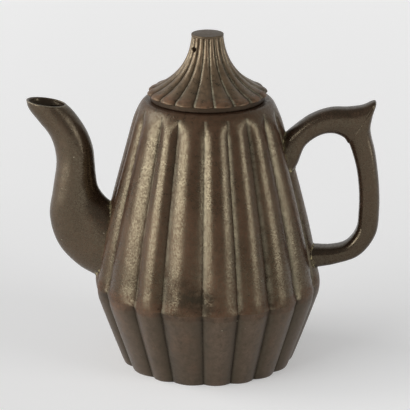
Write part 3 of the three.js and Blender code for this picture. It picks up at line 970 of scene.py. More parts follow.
@dataclass
class Pot:
    """The lobed body: base, lower wall, upper wall and the smooth ring at the mouth.

    Radii are measured on the crests of the lobes, and a groove's depth is a share of the radius there.

    Attributes:
        shop: The workshop that makes and fits its pieces.
        foot_radius: The foot's radius.
        foot_round: The height of the foot's rounded edge.
        foot_tuck: How far its underside is tucked in.
        flare_lean: The flare's slope, as a share of the straight way to the widest line.
        flare_swell: How far the middle of the flare's curve is pulled outwards; it swells by half of that.
        edge_radius: The radius at the widest line.
        edge_height: The height of the widest line.
        edge_bend: The height over which the upper wall turns there; the lower one takes half of it.
        cone_lean: The slope at the cone's foot, as a share of the straight way to the shoulder.
        cone_swell: How far the cone's curve is pulled outwards a third of the way up; it swells by about half
            of that.
        shoulder_radius: The radius at the shoulder.
        shoulder_height: The height of the shoulder.
        ring_radius: The mouth ring's radius where it meets the wall.
        mouth_radius: The radius of its top edge.
        mouth_height: The height of its top, on which the lid's plate rests.
        ring_lip: How far it stands above the wall.
        ring_depth: How deep it is.
        ring_fillet: How rounded the edges of its bore are.
        wall: The wall's thickness.
        base: The base's thickness.
        bore_radius: The radius of the ring's bore.
        joint_gap: The gap between the ring and the wall that it is let into.
        foot_groove: The grooves' depth at the foot.
        edge_groove: Their depth from the widest line up.
        edge_fill: The share of it that is filled at the widest line.
        edge_fill_height: How far up and down that reaches.
        fade_height: The height over which the grooves run out at the wall's top.
        unevenness: How far the hand may push the wall off its place.
        steady_foot: The height over which that grows from the foot.
        steady_top: How far below the wall's top it starts to fade.
        strainer_holes: How many holes the strainer has.
        strainer_height: The height of its middle.
        strainer_pitch: How far its outer holes stand from the middle one.
        strainer_radius: The radius of a hole.
        strainer_depth: The length of the drill, whose middle stands on the crest's outline.
        slip_reach: How far the dry slip spreads from the joints.
        ring: How its lobes stand.
    """

    shop: Workshop
    foot_radius: float = 35.8
    foot_round: float = 2.4
    foot_tuck: float = 0.3
    flare_lean: float = 1.1
    flare_swell: float = 0.3
    edge_radius: float = 47.1
    edge_height: float = 34.2
    edge_bend: float = 9.0
    cone_lean: float = 0.72
    cone_swell: float = 1.5
    shoulder_radius: float = 31.5
    shoulder_height: float = 101.0
    ring_radius: float = 26.95
    mouth_radius: float = 25.2
    mouth_height: float = 112.5
    ring_lip: float = 1.2
    ring_depth: float = 3.2
    ring_fillet: float = 0.35
    wall: float = 2.8
    base: float = 3.5
    bore_radius: float = 20.3
    joint_gap: float = 0.3
    foot_groove: float = 0.05
    edge_groove: float = 0.056
    edge_fill: float = 0.3
    edge_fill_height: float = 1.8
    fade_height: float = 7.5
    unevenness: float = 0.16
    steady_foot: float = 6.0
    steady_top: float = 10.0
    strainer_holes: int = 7
    strainer_height: float = 51.5
    strainer_pitch: float = 4.4
    strainer_radius: float = 1.4
    strainer_depth: float = 16.0
    slip_reach: float = 1.1
    ring: Ring = Ring(0.0, (
        0.5, -0.9, 0.8, -0.6, 1.2, -0.9, 0.4, 0.9, -0.6, 0.5, -2.0, 2.7, -0.5, 1.35, 0.0, -2.1, -2.3, -0.4))

    def __post_init__(self) -> None:
        """Works the outline out once."""
        self.wall_top = self.mouth_height - self.ring_lip
        self.bend_start = self.edge_height - self.edge_bend / 2
        self.foot = bezier([
            (self.foot_radius - self.foot_tuck, 0), (self.foot_radius, 0),
            (self.flare_at(self.foot_round), self.foot_round)], 8)
        self.lower = self.lower_outline()
        self.upper = self.upper_outline()
        self.outline = np.vstack([self.foot, self.lower, self.upper[1:]])

    def flare_at(self, height: np.ndarray | float) -> np.ndarray | float:
        """Returns the crest's radius on the flare, which swells a little, at some heights."""
        slope = self.flare_lean * (self.edge_radius - self.foot_radius) / self.edge_height
        share = height / self.bend_start
        return self.foot_radius + slope * height + 2 * self.flare_swell * share * (1 - share)

    def lower_outline(self) -> np.ndarray:
        """Returns the crest's outline from the top of the base to the widest line."""
        height = np.linspace(self.base, self.bend_start, 23)
        flare = np.column_stack([self.flare_at(height), height])
        turn = bezier([
            flare[-1], (self.edge_radius, mix(self.bend_start, self.edge_height, 0.55)),
            (self.edge_radius, self.edge_height)], 14)
        return np.vstack([flare, turn[1:]])

    def upper_outline(self) -> np.ndarray:
        """Returns the crest's outline from the widest line up to the ring."""
        end = self.edge_height + self.edge_bend
        rise = self.shoulder_height - self.edge_height
        slope = (self.edge_radius - self.shoulder_radius) / rise * self.cone_lean
        cone = self.edge_radius - slope * self.edge_bend
        third, two_thirds = (
            (mix(cone, self.shoulder_radius, share) + swell, mix(end, self.shoulder_height, share))
            for share, swell in ((1 / 3, self.cone_swell), (2 / 3, self.cone_swell / 5)))
        lean = (cone - third[0]) / (third[1] - end)
        turn = bezier([
            (self.edge_radius, self.edge_height), (self.edge_radius, mix(self.edge_height, end, 0.25)),
            (cone + lean * self.edge_bend * 0.4, mix(self.edge_height, end, 0.6)), (cone, end)], 18)
        straight = bezier([(cone, end), third, two_thirds, (self.shoulder_radius, self.shoulder_height)], 40)
        brow = (
            mix(self.shoulder_radius, self.ring_radius, 0.44), mix(self.shoulder_height, self.wall_top, 0.71))
        shoulder = bezier([
            (self.shoulder_radius, self.shoulder_height), brow, (self.ring_radius, self.wall_top)], 30)
        return np.vstack([turn, straight[1:], shoulder[1:]])

    def groove_at(self, height: np.ndarray) -> np.ndarray:
        """Returns the groove's depth at some heights, as a share of the crest's radius."""
        lower = self.foot_groove + (self.edge_groove - self.foot_groove) * height / self.edge_height
        upper = self.edge_groove * (1 - ease(height, self.wall_top - self.fade_height, self.wall_top))
        filled = 1 - self.edge_fill * np.exp(-((height - self.edge_height) / self.edge_fill_height) ** 2)
        return np.where(height < self.edge_height, lower, upper) * filled

    def crest_at(self, height: np.ndarray) -> np.ndarray:
        """Returns the crest's radius at some heights."""
        return np.interp(height, self.outline[:, 1], self.outline[:, 0])

    def surface_at(self, points: np.ndarray) -> np.ndarray:
        """Returns the wall's outer radius at the angle and height of each point."""
        share = self.ring.share(np.arctan2(points[..., 1], points[..., 0]))
        height = points[..., 2]
        return self.crest_at(height) * (1 - self.groove_at(height) * share ** 2)

    def shell(self, outer: np.ndarray) -> Turned:
        """Returns the closed outline of a wall from its outer one."""
        height = outer[:, 1]
        groove = self.groove_at(height)
        calm = 1 - ease(height, self.wall_top - self.steady_top, self.wall_top - self.fade_height)
        steady = ease(height, 0, self.steady_foot)
        inner_height = height[::-INSIDE_STEP]
        if inner_height[-1] != height[0]:
            inner_height = np.append(inner_height, height[0])
        deepest = np.interp(inner_height, height, outer[:, 0] * (1 - groove)) - self.wall
        inner = np.column_stack([deepest, inner_height])
        wobble = self.unevenness * calm * steady
        return Turned(
            np.vstack([outer, inner]),
            np.concatenate([groove, np.zeros(len(inner))]),
            np.concatenate([wobble, np.zeros(len(inner))]))

    def base_slab(self) -> bpy.types.Object:
        """Builds the flat base with its rounded foot."""
        rows = np.vstack([[0, 0], self.foot, self.lower[0], [0, self.base]])
        shape = Turned(rows, self.groove_at(rows[:, 1]), np.zeros(len(rows)))
        return self.shop.lobed("foot_slab", shape, Finish.WORN, self.ring, closed=False)

    def walls(self) -> tuple[bpy.types.Object, bpy.types.Object]:
        """Builds the lower and the upper wall, the upper one with the strainer holes behind the spout."""
        lower, upper = (
            self.shop.lobed(name, self.shell(outer), finish, self.ring, closed=True)
            for name, outer, finish in (
                ("lower_lobes", self.lower, Finish.WORN), ("upper_lobes", self.upper, Finish.BURNISHED)))
        radius = float(self.crest_at(np.array(self.strainer_height)))
        self.shop.drill.run(
            upper, Holes=self.strainer_holes, Pitch=self.strainer_pitch * MM,
            Radius=self.strainer_radius * MM, Depth=self.strainer_depth * MM,
            Middle=(-radius * MM, 0, self.strainer_height * MM), Turn=(0, 0, 0),
            Finish=Finish.BURNISHED.material)
        return lower, upper

    def mouth(self) -> bpy.types.Object:
        """Builds the smooth ring with the seat and the bore for the lid, let into the wall's opening."""
        bottom = self.mouth_height - self.ring_depth
        beside = np.linspace(bottom, self.wall_top, RING_SAMPLES)
        hollow = self.crest_at(beside) * (1 - self.groove_at(beside)) - self.wall
        let_in = hollow.min() - self.joint_gap
        edge = bezier([
            (self.ring_radius, self.wall_top),
            (mix(self.mouth_radius, self.ring_radius, 0.5), mix(self.mouth_height, self.wall_top, 0.13)),
            (self.mouth_radius, self.mouth_height)], 12)
        corners = [(r, z, 0.0) for r, z in edge]
        corners += [(self.bore_radius, height, self.ring_fillet) for height in (self.mouth_height, bottom)]
        corners += [(let_in, bottom, 0.0), (let_in, self.wall_top, 0.0)]
        return self.shop.round("mouth_rim", filleted(corners), Finish.BURNISHED)

    def build(self, seams: Sequence[np.ndarray]) -> None:
        """Builds the body.

        Args:
            seams: The lines along which the spout and the handle are luted on.
        """
        lower, upper = self.walls()
        for wall in (lower, upper):
            points = vertices_mm(wall)
            store(wall, "seam", sum(near(points, seam, self.slip_reach) for seam in seams))
        self.shop.fit(self.base_slab(), "pot", "worn_clay", "base_slab")
        self.shop.fit(lower, "pot", "worn_clay", "lower_wall")
        self.shop.fit(upper, "pot", "burnished_clay", "upper_wall")
        self.shop.fit(self.mouth(), "pot", "burnished_clay", "mouth_ring")


# The spout and the handle

class Side(Enum):
    """The side of the pot that a limb stands on."""

    SPOUT = -1
    HANDLE = 1


@dataclass
class Limb:
    """A limb that springs from the wall, with sections that span an outer and an inner rail.

    Each section gives the outer rail's point as shares of the reach and of the rise, the step from there to
    the inner rail as shares of the depth, and the half width as a share.

    Attributes:
        pot: The pot that it is luted on to.
        shop: The workshop that fits it.
        side: The side of the pot that it stands on.
        root_height: The height that its rise counts from.
        reach: How far it stands out past the widest line.
        rise: How far it rises above its root.
        depth: The depth between its two rails.
        half_width: Half its width.
        square: How square its section is; 2 is an oval.
        sides: How many sides its section is drawn with.
        rows: How many sections it is drawn with.
        bead: The radius of the bead of slip at its joint.
        sections: Its sections, from one end to the other.
        sunk: How far its ends go in under the wall's surface.
        seam_sunk: How far the bead's middle lies under that surface.
        slip_reach: How far the dry slip spreads from its joint.
    """

    pot: Pot
    shop: Workshop
    side: Side
    root_height: float
    reach: float
    rise: float
    depth: float
    half_width: float
    square: float
    sides: int
    rows: int
    bead: float
    sections: tuple[tuple[float, ...], ...]
    sunk: float = 0.7
    seam_sunk: float = 0.05
    slip_reach: float = 1.0

    def __post_init__(self) -> None:
        """Makes the rails."""
        table = np.array(self.sections)
        outer = np.column_stack([
            self.pot.edge_radius + self.reach * table[:, 0], self.rise * table[:, 1]])
        self.outer = Rail(outer)
        self.inner = Rail(outer + self.depth * table[:, 2:4])
        self.width_shares = Rail(table[:, 4:])
        self.angles = np.linspace(0, 2 * math.pi, self.sides, endpoint=False)

    def skin(self, t: np.ndarray, inset: float | np.ndarray = 0.0) -> np.ndarray:
        """Finds points on the limb's surface.

        Args:
            t: The place along the limb for each row and side.
            inset: How far inside the surface the points lie.

        Returns:
            The points in millimetres, for each row and side.
        """
        far, near_rail = self.outer.at(t), self.inner.at(t)
        centre, across = (far + near_rail) / 2, (far - near_rail) / 2
        length = np.linalg.norm(across, axis=-1)
        along, wide = (
            np.sign(part) * np.abs(part) ** (2 / self.square)
            for part in (np.cos(self.angles), np.sin(self.angles)))
        width = self.half_width * self.width_shares.at(t)[..., 0] - inset
        place = centre + across * (along * (length - inset) / length)[..., None]
        return np.stack([
            self.side.value * place[..., 0], -width * wide, self.root_height + place[..., 1]], axis=-1)

    def root(self, sunk: float, inset: float = 0.0, last: bool = False) -> np.ndarray:
        """Finds where each side of the limb meets the wall.

        Args:
            sunk: How far under the wall's surface.
            inset: How far inside the limb's surface.
            last: Whether it is the limb's last end and not its first.

        Returns:
            The place along the limb for each side.
        """
        t = np.linspace(0, 1, ROOT_SAMPLES)
        grid = np.repeat(t[:, None], self.sides, axis=1)
        points = self.skin(grid, inset)
        gap = np.hypot(points[..., 0], points[..., 1]) - self.pot.surface_at(points) + sunk
        half = len(t) // 2
        found = []
        for level in gap.T:
            inside = level < 0
            if last:
                i = half + int(np.argmax(inside[half:]))
                a, b = i, i - 1
            else:
                i = half - 1 - int(np.argmax(inside[:half][::-1]))
                a, b = i, i + 1
            share = level[a] / (level[a] - level[b])
            found.append(t[a] + (t[b] - t[a]) * share)
        return np.array(found)

    def seam(self, last: bool = False) -> np.ndarray:
        """Returns the closed line along which the limb meets the wall."""
        t = self.root(self.seam_sunk, last=last)
        return self.skin(t[None])[0]

    def lute(self, name: str, line: np.ndarray, seed: float) -> None:
        """Lays the bead of slip along one of its joints, and fits it."""
        self.shop.fit(self.shop.seam(name, line, self.bead, seed), "pot", "burnished_clay")


def grid_faces(rows: int, sides: int, closed: bool = False) -> list[tuple[int, int, int, int]]:
    """Returns the faces of a tube of equal rings; a closed one has its last ring joined to its first."""
    faces = []
    for row in range(rows if closed else rows - 1):
        low, high = row * sides, (row + 1) % rows * sides
        for i in range(sides):
            j = (i + 1) % sides
            faces.append((low + i, low + j, high + j, high + i))
    return faces


@dataclass
class Spout(Limb):
    """The hollow spout: a deep oval at the wall that swells, narrows and leans out to a cut-off lip.

    Attributes:
        wall: The thickness of its wall.
        lip_wall: The thickness of its wall at the lip.
        thin_from: Where the wall starts to thin, as a share of the way along.
        lip: Where the lip is, as a share of the way along.
        lip_aim: The place from which the rails are followed on to find the way that the lip faces.
        lip_rows: How many rings the rounded lip is drawn with.
        lit_rows: How many of them get the painted highlight.
        channel_rows: How many rings the channel is drawn with.
    """

    side: Side = Side.SPOUT
    root_height: float = 34.5
    reach: float = 27.8
    rise: float = 76.5
    depth: float = 16.0
    half_width: float = 8.2
    square: float = 2.0
    sides: int = 72
    rows: int = 120
    bead: float = 0.38
    wall: float = 2.2
    lip_wall: float = 1.15
    thin_from: float = 0.86
    lip: float = 0.984
    lip_aim: float = 0.98
    lip_rows: int = 6
    lit_rows: int = 3
    channel_rows: int = 70
    sections: tuple[tuple[float, ...], ...] = (
        (-0.504, -0.111, -0.344, 2.156, 1.073),
        (-0.101, -0.012, -0.406, 2.006, 1.049),
        (0.263, 0.065, -0.719, 1.875, 1.024),
        (0.558, 0.186, -1.063, 1.556, 1),
        (0.68, 0.346, -1.219, 1.094, 0.988),
        (0.619, 0.51, -1.088, 0.656, 0.976),
        (0.565, 0.673, -0.95, 0.294, 0.927),
        (0.647, 0.795, -0.938, 0.15, 0.878),
        (0.827, 0.884, -0.981, 0.15, 0.841),
        (0.968, 0.954, -1.088, -0.025, 0.827),
        (1, 1, -1.044, -0.163, 0.817))

    def rounded_lip(self, outer: np.ndarray, inner: np.ndarray) -> np.ndarray:
        """Returns the rings of the rounded lip, between the last ring outside and the first one inside."""
        end, before = self.skin(np.repeat([[1.0], [self.lip_aim]], self.sides, axis=1))
        onward = (end - before).mean(axis=0)
        onward /= np.linalg.norm(onward)
        middle, arm = (outer + inner) / 2, (outer - inner) / 2
        turns = np.linspace(0, math.pi, self.lip_rows + 2)[1:-1]
        return np.array([
            middle + arm * math.cos(turn) + onward * self.lip_wall / 2 * math.sin(turn) for turn in turns])

    def build(self) -> None:
        """Builds the spout with its channel and its rounded lip."""
        start = self.root(self.sunk)
        outside = self.skin(start + (self.lip - start) * np.linspace(0, 1, self.rows)[:, None])
        start = self.root(self.sunk, inset=self.wall)
        t = start + (self.lip - start) * np.linspace(1, 0, self.channel_rows)[:, None]
        channel = self.skin(t, self.wall + (self.lip_wall - self.wall) * ease(t, self.thin_from, self.lip))
        rings = np.concatenate([outside, self.rounded_lip(outside[-1], channel[0]), channel])
        faces = grid_faces(len(rings), self.sides, closed=True)
        obj = mesh_object("pouring_spout", rings.reshape(-1, 3), faces)
        Finish.LIMB.dress(obj)
        row = np.repeat(np.arange(len(rings)), self.sides)
        lit = (row >= self.rows) & (row < self.rows + self.lit_rows)
        store(obj, "seam", near(vertices_mm(obj), self.seam(), self.slip_reach))
        store(obj, "stain", row >= len(rings) - self.channel_rows)
        # Painted highlight: the lip's first rings are marked as a groove's lit edge, so that they take the
        # pale line
        store(obj, "side", np.where(lit, -1, 0))
        self.shop.fit(obj, "pot", "burnished_clay", "spout")
        self.lute("spout_seam", self.seam(), 1.0)


@dataclass
class Handle(Limb):
    """The ear-shaped handle: a splayed root, an arch, a pointed spur, a straight grip and a lower root."""

    side: Side = Side.HANDLE
    root_height: float = 40.0
    reach: float = 24.1
    rise: float = 72.7
    depth: float = 8.6
    half_width: float = 4.9
    square: float = 3.0
    sides: int = 64
    rows: int = 260
    bead: float = 0.36
    sections: tuple[tuple[float, ...], ...] = (
        (-0.871, 0.729, 0.465, -2.209, 1.306),
        (-0.506, 0.839, 0.233, -1.837, 1.204),
        (-0.191, 0.916, -0.244, -1.5, 1.102),
        (0.141, 0.956, -0.453, -1.291, 1.061),
        (0.448, 0.961, -0.721, -1.244, 1.041),
        (0.68, 0.974, -0.872, -1.558, 1.02),
        (0.888, 1.002, -1.25, -2.07, 1),
        (0.911, 0.99, -1.27, -1.99, 1),
        (0.855, 0.916, -1, -1.628, 1),
        (0.822, 0.836, -0.802, -1.279, 1),
        (0.917, 0.688, -0.919, -0.581, 1),
        (0.988, 0.502, -0.977, 0, 1),
        (1, 0.358, -0.988, 0, 1),
        (0.946, 0.217, -0.953, 0.233, 1),
        (0.676, 0.094, -0.698, 0.605, 1.02),
        (0.266, 0.04, -0.279, 0.849, 1.061),
        (-0.062, 0.017, -0.128, 1.035, 1.122),
        (-0.498, -0.017, 0, 1.314, 1.184))

    def build(self) -> None:
        """Builds the handle and the beads at its two roots."""
        first, last = self.root(self.sunk), self.root(self.sunk, last=True)
        rings = self.skin(first + (last - first) * np.linspace(0, 1, self.rows)[:, None])
        points = np.vstack([rings.reshape(-1, 3), rings[0].mean(axis=0), rings[-1].mean(axis=0)])
        faces = grid_faces(self.rows, self.sides)
        end = (self.rows - 1) * self.sides
        pairs = [(i, (i + 1) % self.sides) for i in range(self.sides)]
        faces += [(len(points) - 2, j, i) for i, j in pairs]
        faces += [(len(points) - 1, end + i, end + j) for i, j in pairs]
        obj = mesh_object("ear_handle", points, faces)
        Finish.GRIP.dress(obj)
        upper, lower = self.seam(), self.seam(last=True)
        points = vertices_mm(obj)
        store(obj, "seam", near(points, upper, self.slip_reach) + near(points, lower, self.slip_reach))
        self.shop.fit(obj, "pot", "burnished_clay", "handle")
        self.lute("handle_upper_seam", upper, 2.0)
        self.lute("handle_lower_seam", lower, 5.0)


# The lid

@dataclass
class Lid:
    """The lid: a fluted hollow canopy on a flat plate, with a collar below and a plain disc on its neck.

    Attributes:
        shop: The workshop that makes and fits its pieces.
        seat_height: The height at which its plate rests.
        plate_radius: The plate's radius.
        plate: The plate's thickness.
        rim_radius: The canopy's radius at its rim.
        rim_height: The height of the rim's edge.
        wall: The canopy's thickness.
        canopy: The canopy's height.
        neck_radius: The radius of its neck.
        knob_radius: The disc's radius.
        knob: The disc's thickness.
        collar_radius: The collar's radius.
        collar_wall: The collar's thickness.
        collar_depth: How far the collar hangs below the plate.
        rim_groove: The flutes' depth at the rim, as a share of the radius.
        neck_groove: Their depth at the neck.
        groove_curve: The power by which it changes up the canopy.
        fullness: How narrow the flutes' valleys are; 2 is the same as the pot's.
        vent_radius: The vent's radius.
        vent_angle: Its angle round the axis, in degrees.
        vent_height: Its height above the plate.
        vent_reach: How far from the axis the middle of its drill stands.
        vent_depth: The length of the drill.
        hollow_top: How far below the neck's top the hollow's sides end, in thicknesses of the wall.
        hollow_drop: How much lower its rows lie than those outside, in thicknesses of the wall.
        hollow_sill: How high above the plate its sides begin.
        hollow_flare: How much wider it is at the plate.
        hollow_step: How many rows outside there are for each of its own.
        plate_fillet: How rounded the plate's lower edge is.
        collar_fillet: How rounded the collar's lower edges are.
        knob_fillets: How rounded the disc's lower and upper edges are.
        unevenness: How far the hand may push the canopy off its place.
        uneven_rim: The heights above the plate between which that grows.
        uneven_neck: The distances below the neck's top between which it fades.
        ring: How its flutes stand.
    """

    shop: Workshop
    seat_height: float = 112.8
    plate_radius: float = 23.5
    plate: float = 2.0
    rim_radius: float = 24.7
    rim_height: float = 0.5
    wall: float = 2.4
    canopy: float = 24.2
    neck_radius: float = 6.5
    knob_radius: float = 6.6
    knob: float = 1.0
    collar_radius: float = 19.8
    collar_wall: float = 2.4
    collar_depth: float = 9.0
    rim_groove: float = 0.045
    neck_groove: float = 0.115
    groove_curve: float = 0.7
    fullness: float = 2.4
    vent_radius: float = 1.3
    vent_angle: float = -136.0
    vent_height: float = 19.5
    vent_reach: float = 7.0
    vent_depth: float = 10.0
    hollow_top: float = 2.2
    hollow_drop: float = 0.4
    hollow_sill: float = 0.2
    hollow_flare: float = 0.4
    hollow_step: int = 5
    plate_fillet: float = 0.4
    collar_fillet: float = 0.7
    knob_fillets: tuple[float, float] = (0.15, 0.32)
    unevenness: float = 0.12
    uneven_rim: tuple[float, float] = (0.1, 3.2)
    uneven_neck: tuple[float, float] = (5.0, 0.5)
    ring: Ring = Ring(0.5)

    def __post_init__(self) -> None:
        """Works out where the canopy starts and ends, above the seat and its plate."""
        self.canopy_bottom = self.seat_height + self.plate
        self.canopy_top = self.canopy_bottom + self.canopy

    def outline(self) -> np.ndarray:
        """Returns the crest's outline from the rim up to the neck."""
        low, high = self.neck_radius, self.rim_radius
        rim_top = self.canopy_bottom + self.rim_height
        brim = (mix(low, high, 0.84), self.canopy_bottom + 0.098 * self.canopy)
        foot = bezier([
            (high - 0.45, self.canopy_bottom), (high, self.canopy_bottom + 0.1), (high, rim_top)], 6)
        roll = bezier([(high, rim_top), (mix(brim[0], high, 0.85), mix(rim_top, brim[1], 0.55)), brim], 12)
        sweep = bezier([
            brim,
            (mix(low, high, 0.4), self.canopy_bottom + 0.27 * self.canopy),
            (mix(low, high, 0.07), self.canopy_bottom + 0.5 * self.canopy),
            (low, self.canopy_top)], 56)
        return np.vstack([foot, roll[1:], sweep[1:]])

    def flutes(self) -> bpy.types.Object:
        """Builds the fluted canopy, hollow up into its neck, with the vent drilled through."""
        outer = self.outline()
        share = (outer[:, 1] - self.canopy_bottom) / self.canopy
        groove = self.rim_groove + (self.neck_groove - self.rim_groove) * share ** self.groove_curve
        low = outer[outer[:, 1] < self.canopy_top - self.hollow_top * self.wall][::-self.hollow_step]
        depth = np.interp(low[:, 1], outer[:, 1], groove)
        inner = np.column_stack([
            low[:, 0] * (1 - depth) - self.wall, low[:, 1] - self.hollow_drop * self.wall])
        inner = inner[inner[:, 1] > self.canopy_bottom + self.hollow_sill]
        peak, foot = inner[0][1] + inner[0][0], inner[-1][0] + self.hollow_flare
        cavity = np.vstack([[0, peak], inner, [foot, self.canopy_bottom]])
        rows = np.vstack([cavity, outer, [0, self.canopy_top]])
        above = outer[:, 1] - self.canopy_bottom
        quiet = 1 - ease(above, *(self.canopy - down for down in self.uneven_neck))
        wobble = self.unevenness * quiet * ease(above, *self.uneven_rim)
        zeros = np.zeros(len(cavity))
        shape = Turned(
            rows, np.concatenate([zeros, groove, [0]]), np.concatenate([zeros, wobble, [0]]))
        obj = self.shop.lobed(
            "lid_flutes", shape, Finish.LID, self.ring, closed=False, fullness=self.fullness)
        height = self.canopy_bottom + self.vent_height
        turn = math.radians(self.vent_angle)
        east, north = self.vent_reach * math.cos(turn), self.vent_reach * math.sin(turn)
        return self.shop.drill.run(
            obj, Holes=1, Pitch=0.0, Radius=self.vent_radius * MM, Depth=self.vent_depth * MM,
            Middle=(east * MM, north * MM, height * MM), Turn=(0, 0, turn), Finish=Finish.LID.material)

    def build(self) -> None:
        """Builds the lid."""
        bore = self.collar_radius - self.collar_wall
        bottom, seat, top = self.seat_height - self.collar_depth, self.seat_height, self.canopy_bottom
        plate = filleted([
            (bore, seat, 0), (self.plate_radius, seat, self.plate_fillet), (self.plate_radius, top, 0),
            (bore, top, 0)])
        collar = filleted([
            (bore, bottom, self.collar_fillet), (self.collar_radius, bottom, self.collar_fillet),
            (self.collar_radius, seat, 0), (bore, seat, 0)])
        low, high = self.canopy_top, self.canopy_top + self.knob
        below, above = self.knob_fillets
        disc = filleted([
            (0, low, 0), (self.knob_radius, low, below), (self.knob_radius, high, above), (0, high, 0)])
        self.shop.fit(self.flutes(), "lid", "lid_clay", "lid_canopy")
        # Painted shade: the plate takes the darker clay for the shadow under the canopy's rim
        self.shop.fit(self.shop.round("lid_plate_painted_shade", plate, Finish.SHADED_LID_PLATE), "lid", "lid_clay", "lid_plate")
        self.shop.fit(self.shop.round("lid_collar", collar, Finish.LID), "lid", "lid_clay", "lid_flange")
        knob = self.shop.round("lid_disc", disc, Finish.DISC, closed=False)
        self.shop.fit(knob, "lid", "lid_clay", "knob_disc")


# The studio

@dataclass(frozen=True)
class Softbox:
    """A rectangular lamp that faces the pot.

    Attributes:
        name: Its name.
        azimuth: Its angle round from the camera, in degrees, positive to the right.
        elevation: Its angle above the pot's middle, in degrees.
        size: Its width and height in metres.
        power: Its power in watts.
        distance: Its distance in metres.
    """

    name: str
    azimuth: float
    elevation: float
    size: tuple[float, float]
    power: float
    distance: float = 2.3


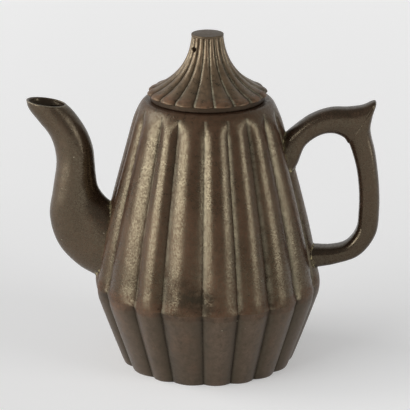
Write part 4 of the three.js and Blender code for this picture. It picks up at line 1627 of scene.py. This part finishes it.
@dataclass
class Studio:
    """The floor, the three softboxes, the fill light and the camera of a plain product photograph.

    Attributes:
        turn: How far the camera stands round from straight in front, in degrees.
        pitch: How far it looks down, in degrees.
        place: Where it stands, in metres.
        sensor: Its sensor's width in millimetres.
        lens: Its focal length in millimetres.
        shift: Its sideways shift, as a share of the picture's width.
        clip: The nearest and the furthest distance that it sees, in metres.
        target: What the softboxes face, in metres.
        lamps: The softboxes.
        floor_radius: The floor's radius in metres.
        floor_sides: How many sides the floor's disc has.
        paper: The floor's colour.
        glow: How brightly the floor shows under the pot, besides what the lamps give it.
        back_glow: How much more for each metre back, from back_from on.
        back_from: Where that begins, in metres behind the pot's middle.
        front_glow: How much more in front of the pot.
        front_range: Where that begins and ends, in metres in front of its middle.
        side_glow: How much more for each metre to the right.
        side_range: Where that begins and ends, in metres to the right of the pot's middle.
        side_loss: How much less side_glow is for each metre back.
        least_side_glow: The least that it drops to.
        most_glow: The most that the floor shows.
        fill: The strength of the fill light.
        backdrop: How much brighter the backdrop shows than the fill light.
        backdrop_back: Where it brightens, by how far a view points to the back, from 0 to 1.
        backdrop_up: Where it darkens again, by how far a view points up.
    """

    turn: float = 4.0
    pitch: float = 17.87
    place: Point = (0.0663, -0.9477, 0.37295)
    sensor: float = 36.0
    lens: float = 210.9
    shift: float = -0.0063
    clip: tuple[float, float] = (0.05, 50)
    target: Point = (0.0, 0.0, 0.07)
    lamps: tuple[Softbox, ...] = (
        Softbox("key_softbox", -58, 11, (2.0, 0.9), 48),
        Softbox("left_panel", -100, 26, (1.5, 1.0), 20),
        Softbox("right_softbox", 62, 12, (1.1, 1.0), 18.4))
    floor_radius: float = 4.0
    floor_sides: int = 64
    paper: Colour = (0.8, 0.8, 0.8)
    glow: float = 0.26
    back_glow: float = 0.22
    back_from: float = 0.12
    front_glow: float = 0.25
    front_range: tuple[float, float] = (0.08, 0.5)
    side_glow: float = 0.6
    side_range: tuple[float, float] = (-0.12, 0.3)
    side_loss: float = 2.0
    least_side_glow: float = 0.15
    most_glow: float = 0.6
    fill: float = 0.25
    backdrop: float = 0.42
    backdrop_back: tuple[float, float] = (0.0, 0.5)
    backdrop_up: tuple[float, float] = (0.55, 0.95)

    def camera(self) -> None:
        """Stands the camera where the photograph was taken from."""
        data = bpy.data.cameras.new("camera")
        data.sensor_width = self.sensor
        data.lens = self.lens
        data.shift_x = self.shift
        data.clip_start, data.clip_end = self.clip
        obj = new_object("camera", data)
        obj.location = self.place
        obj.rotation_euler = (math.radians(90 - self.pitch), 0, math.radians(self.turn))
        bpy.context.scene.camera = obj

    def hang(self, lamp: Softbox) -> None:
        """Hangs a softbox."""
        data = bpy.data.lights.new(lamp.name, "AREA")
        data.shape = "RECTANGLE"
        data.size, data.size_y = lamp.size
        data.energy = lamp.power
        obj = new_object(lamp.name, data)
        angle = math.radians(-90 + self.turn + lamp.azimuth)
        rise = math.radians(lamp.elevation)
        away = Vector((math.cos(angle) * math.cos(rise), math.sin(angle) * math.cos(rise), math.sin(rise)))
        obj.location = Vector(self.target) + away * lamp.distance
        obj.rotation_euler = away.to_track_quat("Z", "Y").to_euler()

    def shown(self, tree: Tree) -> Wire:
        """Returns 1 for rays from the camera and for reflected and refracted ones."""
        path = tree.add("ShaderNodeLightPath").socket.node.outputs
        seen = [Wire(tree, path[name]) for name in ("Is Camera Ray", "Is Glossy Ray", "Is Transmission Ray")]
        return tree.math("MINIMUM", seen[0] + seen[1] + seen[2], 1)

    def level(self, tree: Tree) -> Wire:
        """Returns how brightly the floor shows: more to the back, to the front and to the right."""
        x, y, _ = tree.split(tree.add("ShaderNodeTexCoord", output="Object"))
        left, right = self.side_range
        behind = tree.math("MAXIMUM", y - self.back_from, 0) * self.back_glow
        before = tree.band(0 - y, *self.front_range) * self.front_glow
        slope = tree.math("MAXIMUM", self.side_glow - y * self.side_loss, self.least_side_glow)
        aside = tree.math("MAXIMUM", tree.math("MINIMUM", x, right), left) * slope
        return tree.math("MINIMUM", self.glow + behind + aside + before, self.most_glow)

    def floor(self) -> None:
        """Lays the pale floor, which keeps the pot's shadow."""
        mesh = bpy.data.meshes.new("floor")
        turns = [2 * math.pi * i / self.floor_sides for i in range(self.floor_sides)]
        ring = [(self.floor_radius * math.cos(turn), self.floor_radius * math.sin(turn), 0) for turn in turns]
        mesh.from_pydata(ring, [], [tuple(range(self.floor_sides))])
        obj = new_object("floor", mesh)
        material = bpy.data.materials.new("floor_paper")
        tree = blank_tree(material)
        strength = self.shown(tree) * self.level(tree)
        paper = tree.add("ShaderNodeBsdfDiffuse", inputs={"Color": self.paper})
        lift = tree.add("ShaderNodeEmission", inputs={"Color": (1.0, 1.0, 1.0), "Strength": strength})
        surface = tree.add("ShaderNodeAddShader", inputs={0: paper, 1: lift})
        tree.add("ShaderNodeOutputMaterial", inputs={"Surface": surface})
        mesh.materials.append(material)

    def world(self) -> None:
        """Sets the soft fill light and the backdrop, which shows brighter than it lights."""
        world = bpy.data.worlds.new("studio")
        bpy.context.scene.world = world
        tree = blank_tree(world)
        _, back, up = tree.split(tree.add("ShaderNodeTexCoord", output="Generated"))
        sweep = tree.band(back, *self.backdrop_back) * (1 - tree.band(up, *self.backdrop_up))
        strength = self.fill + self.shown(tree) * sweep * self.backdrop
        surface = tree.add("ShaderNodeBackground", inputs={"Color": (1.0, 1.0, 1.0), "Strength": strength})
        tree.add("ShaderNodeOutputWorld", inputs={"Surface": surface})

    def build(self) -> None:
        """Builds the studio."""
        bpy.context.scene.view_settings.view_transform = "Standard"
        self.camera()
        self.floor()
        self.world()
        for lamp in self.lamps:
            self.hang(lamp)


def main() -> None:
    """Builds the teapot and its studio."""
    logging.basicConfig(level=logging.INFO, format="%(relativeCreated)5d ms %(name)s: %(message)s")
    shop = Workshop()
    pot = Pot(shop)
    spout = Spout(pot, shop)
    handle = Handle(pot, shop)
    Studio().build()
    pot.build([spout.seam(), handle.seam(), handle.seam(last=True)])
    spout.build()
    handle.build()
    Lid(shop).build()


if __name__ == "__main__":
    main()
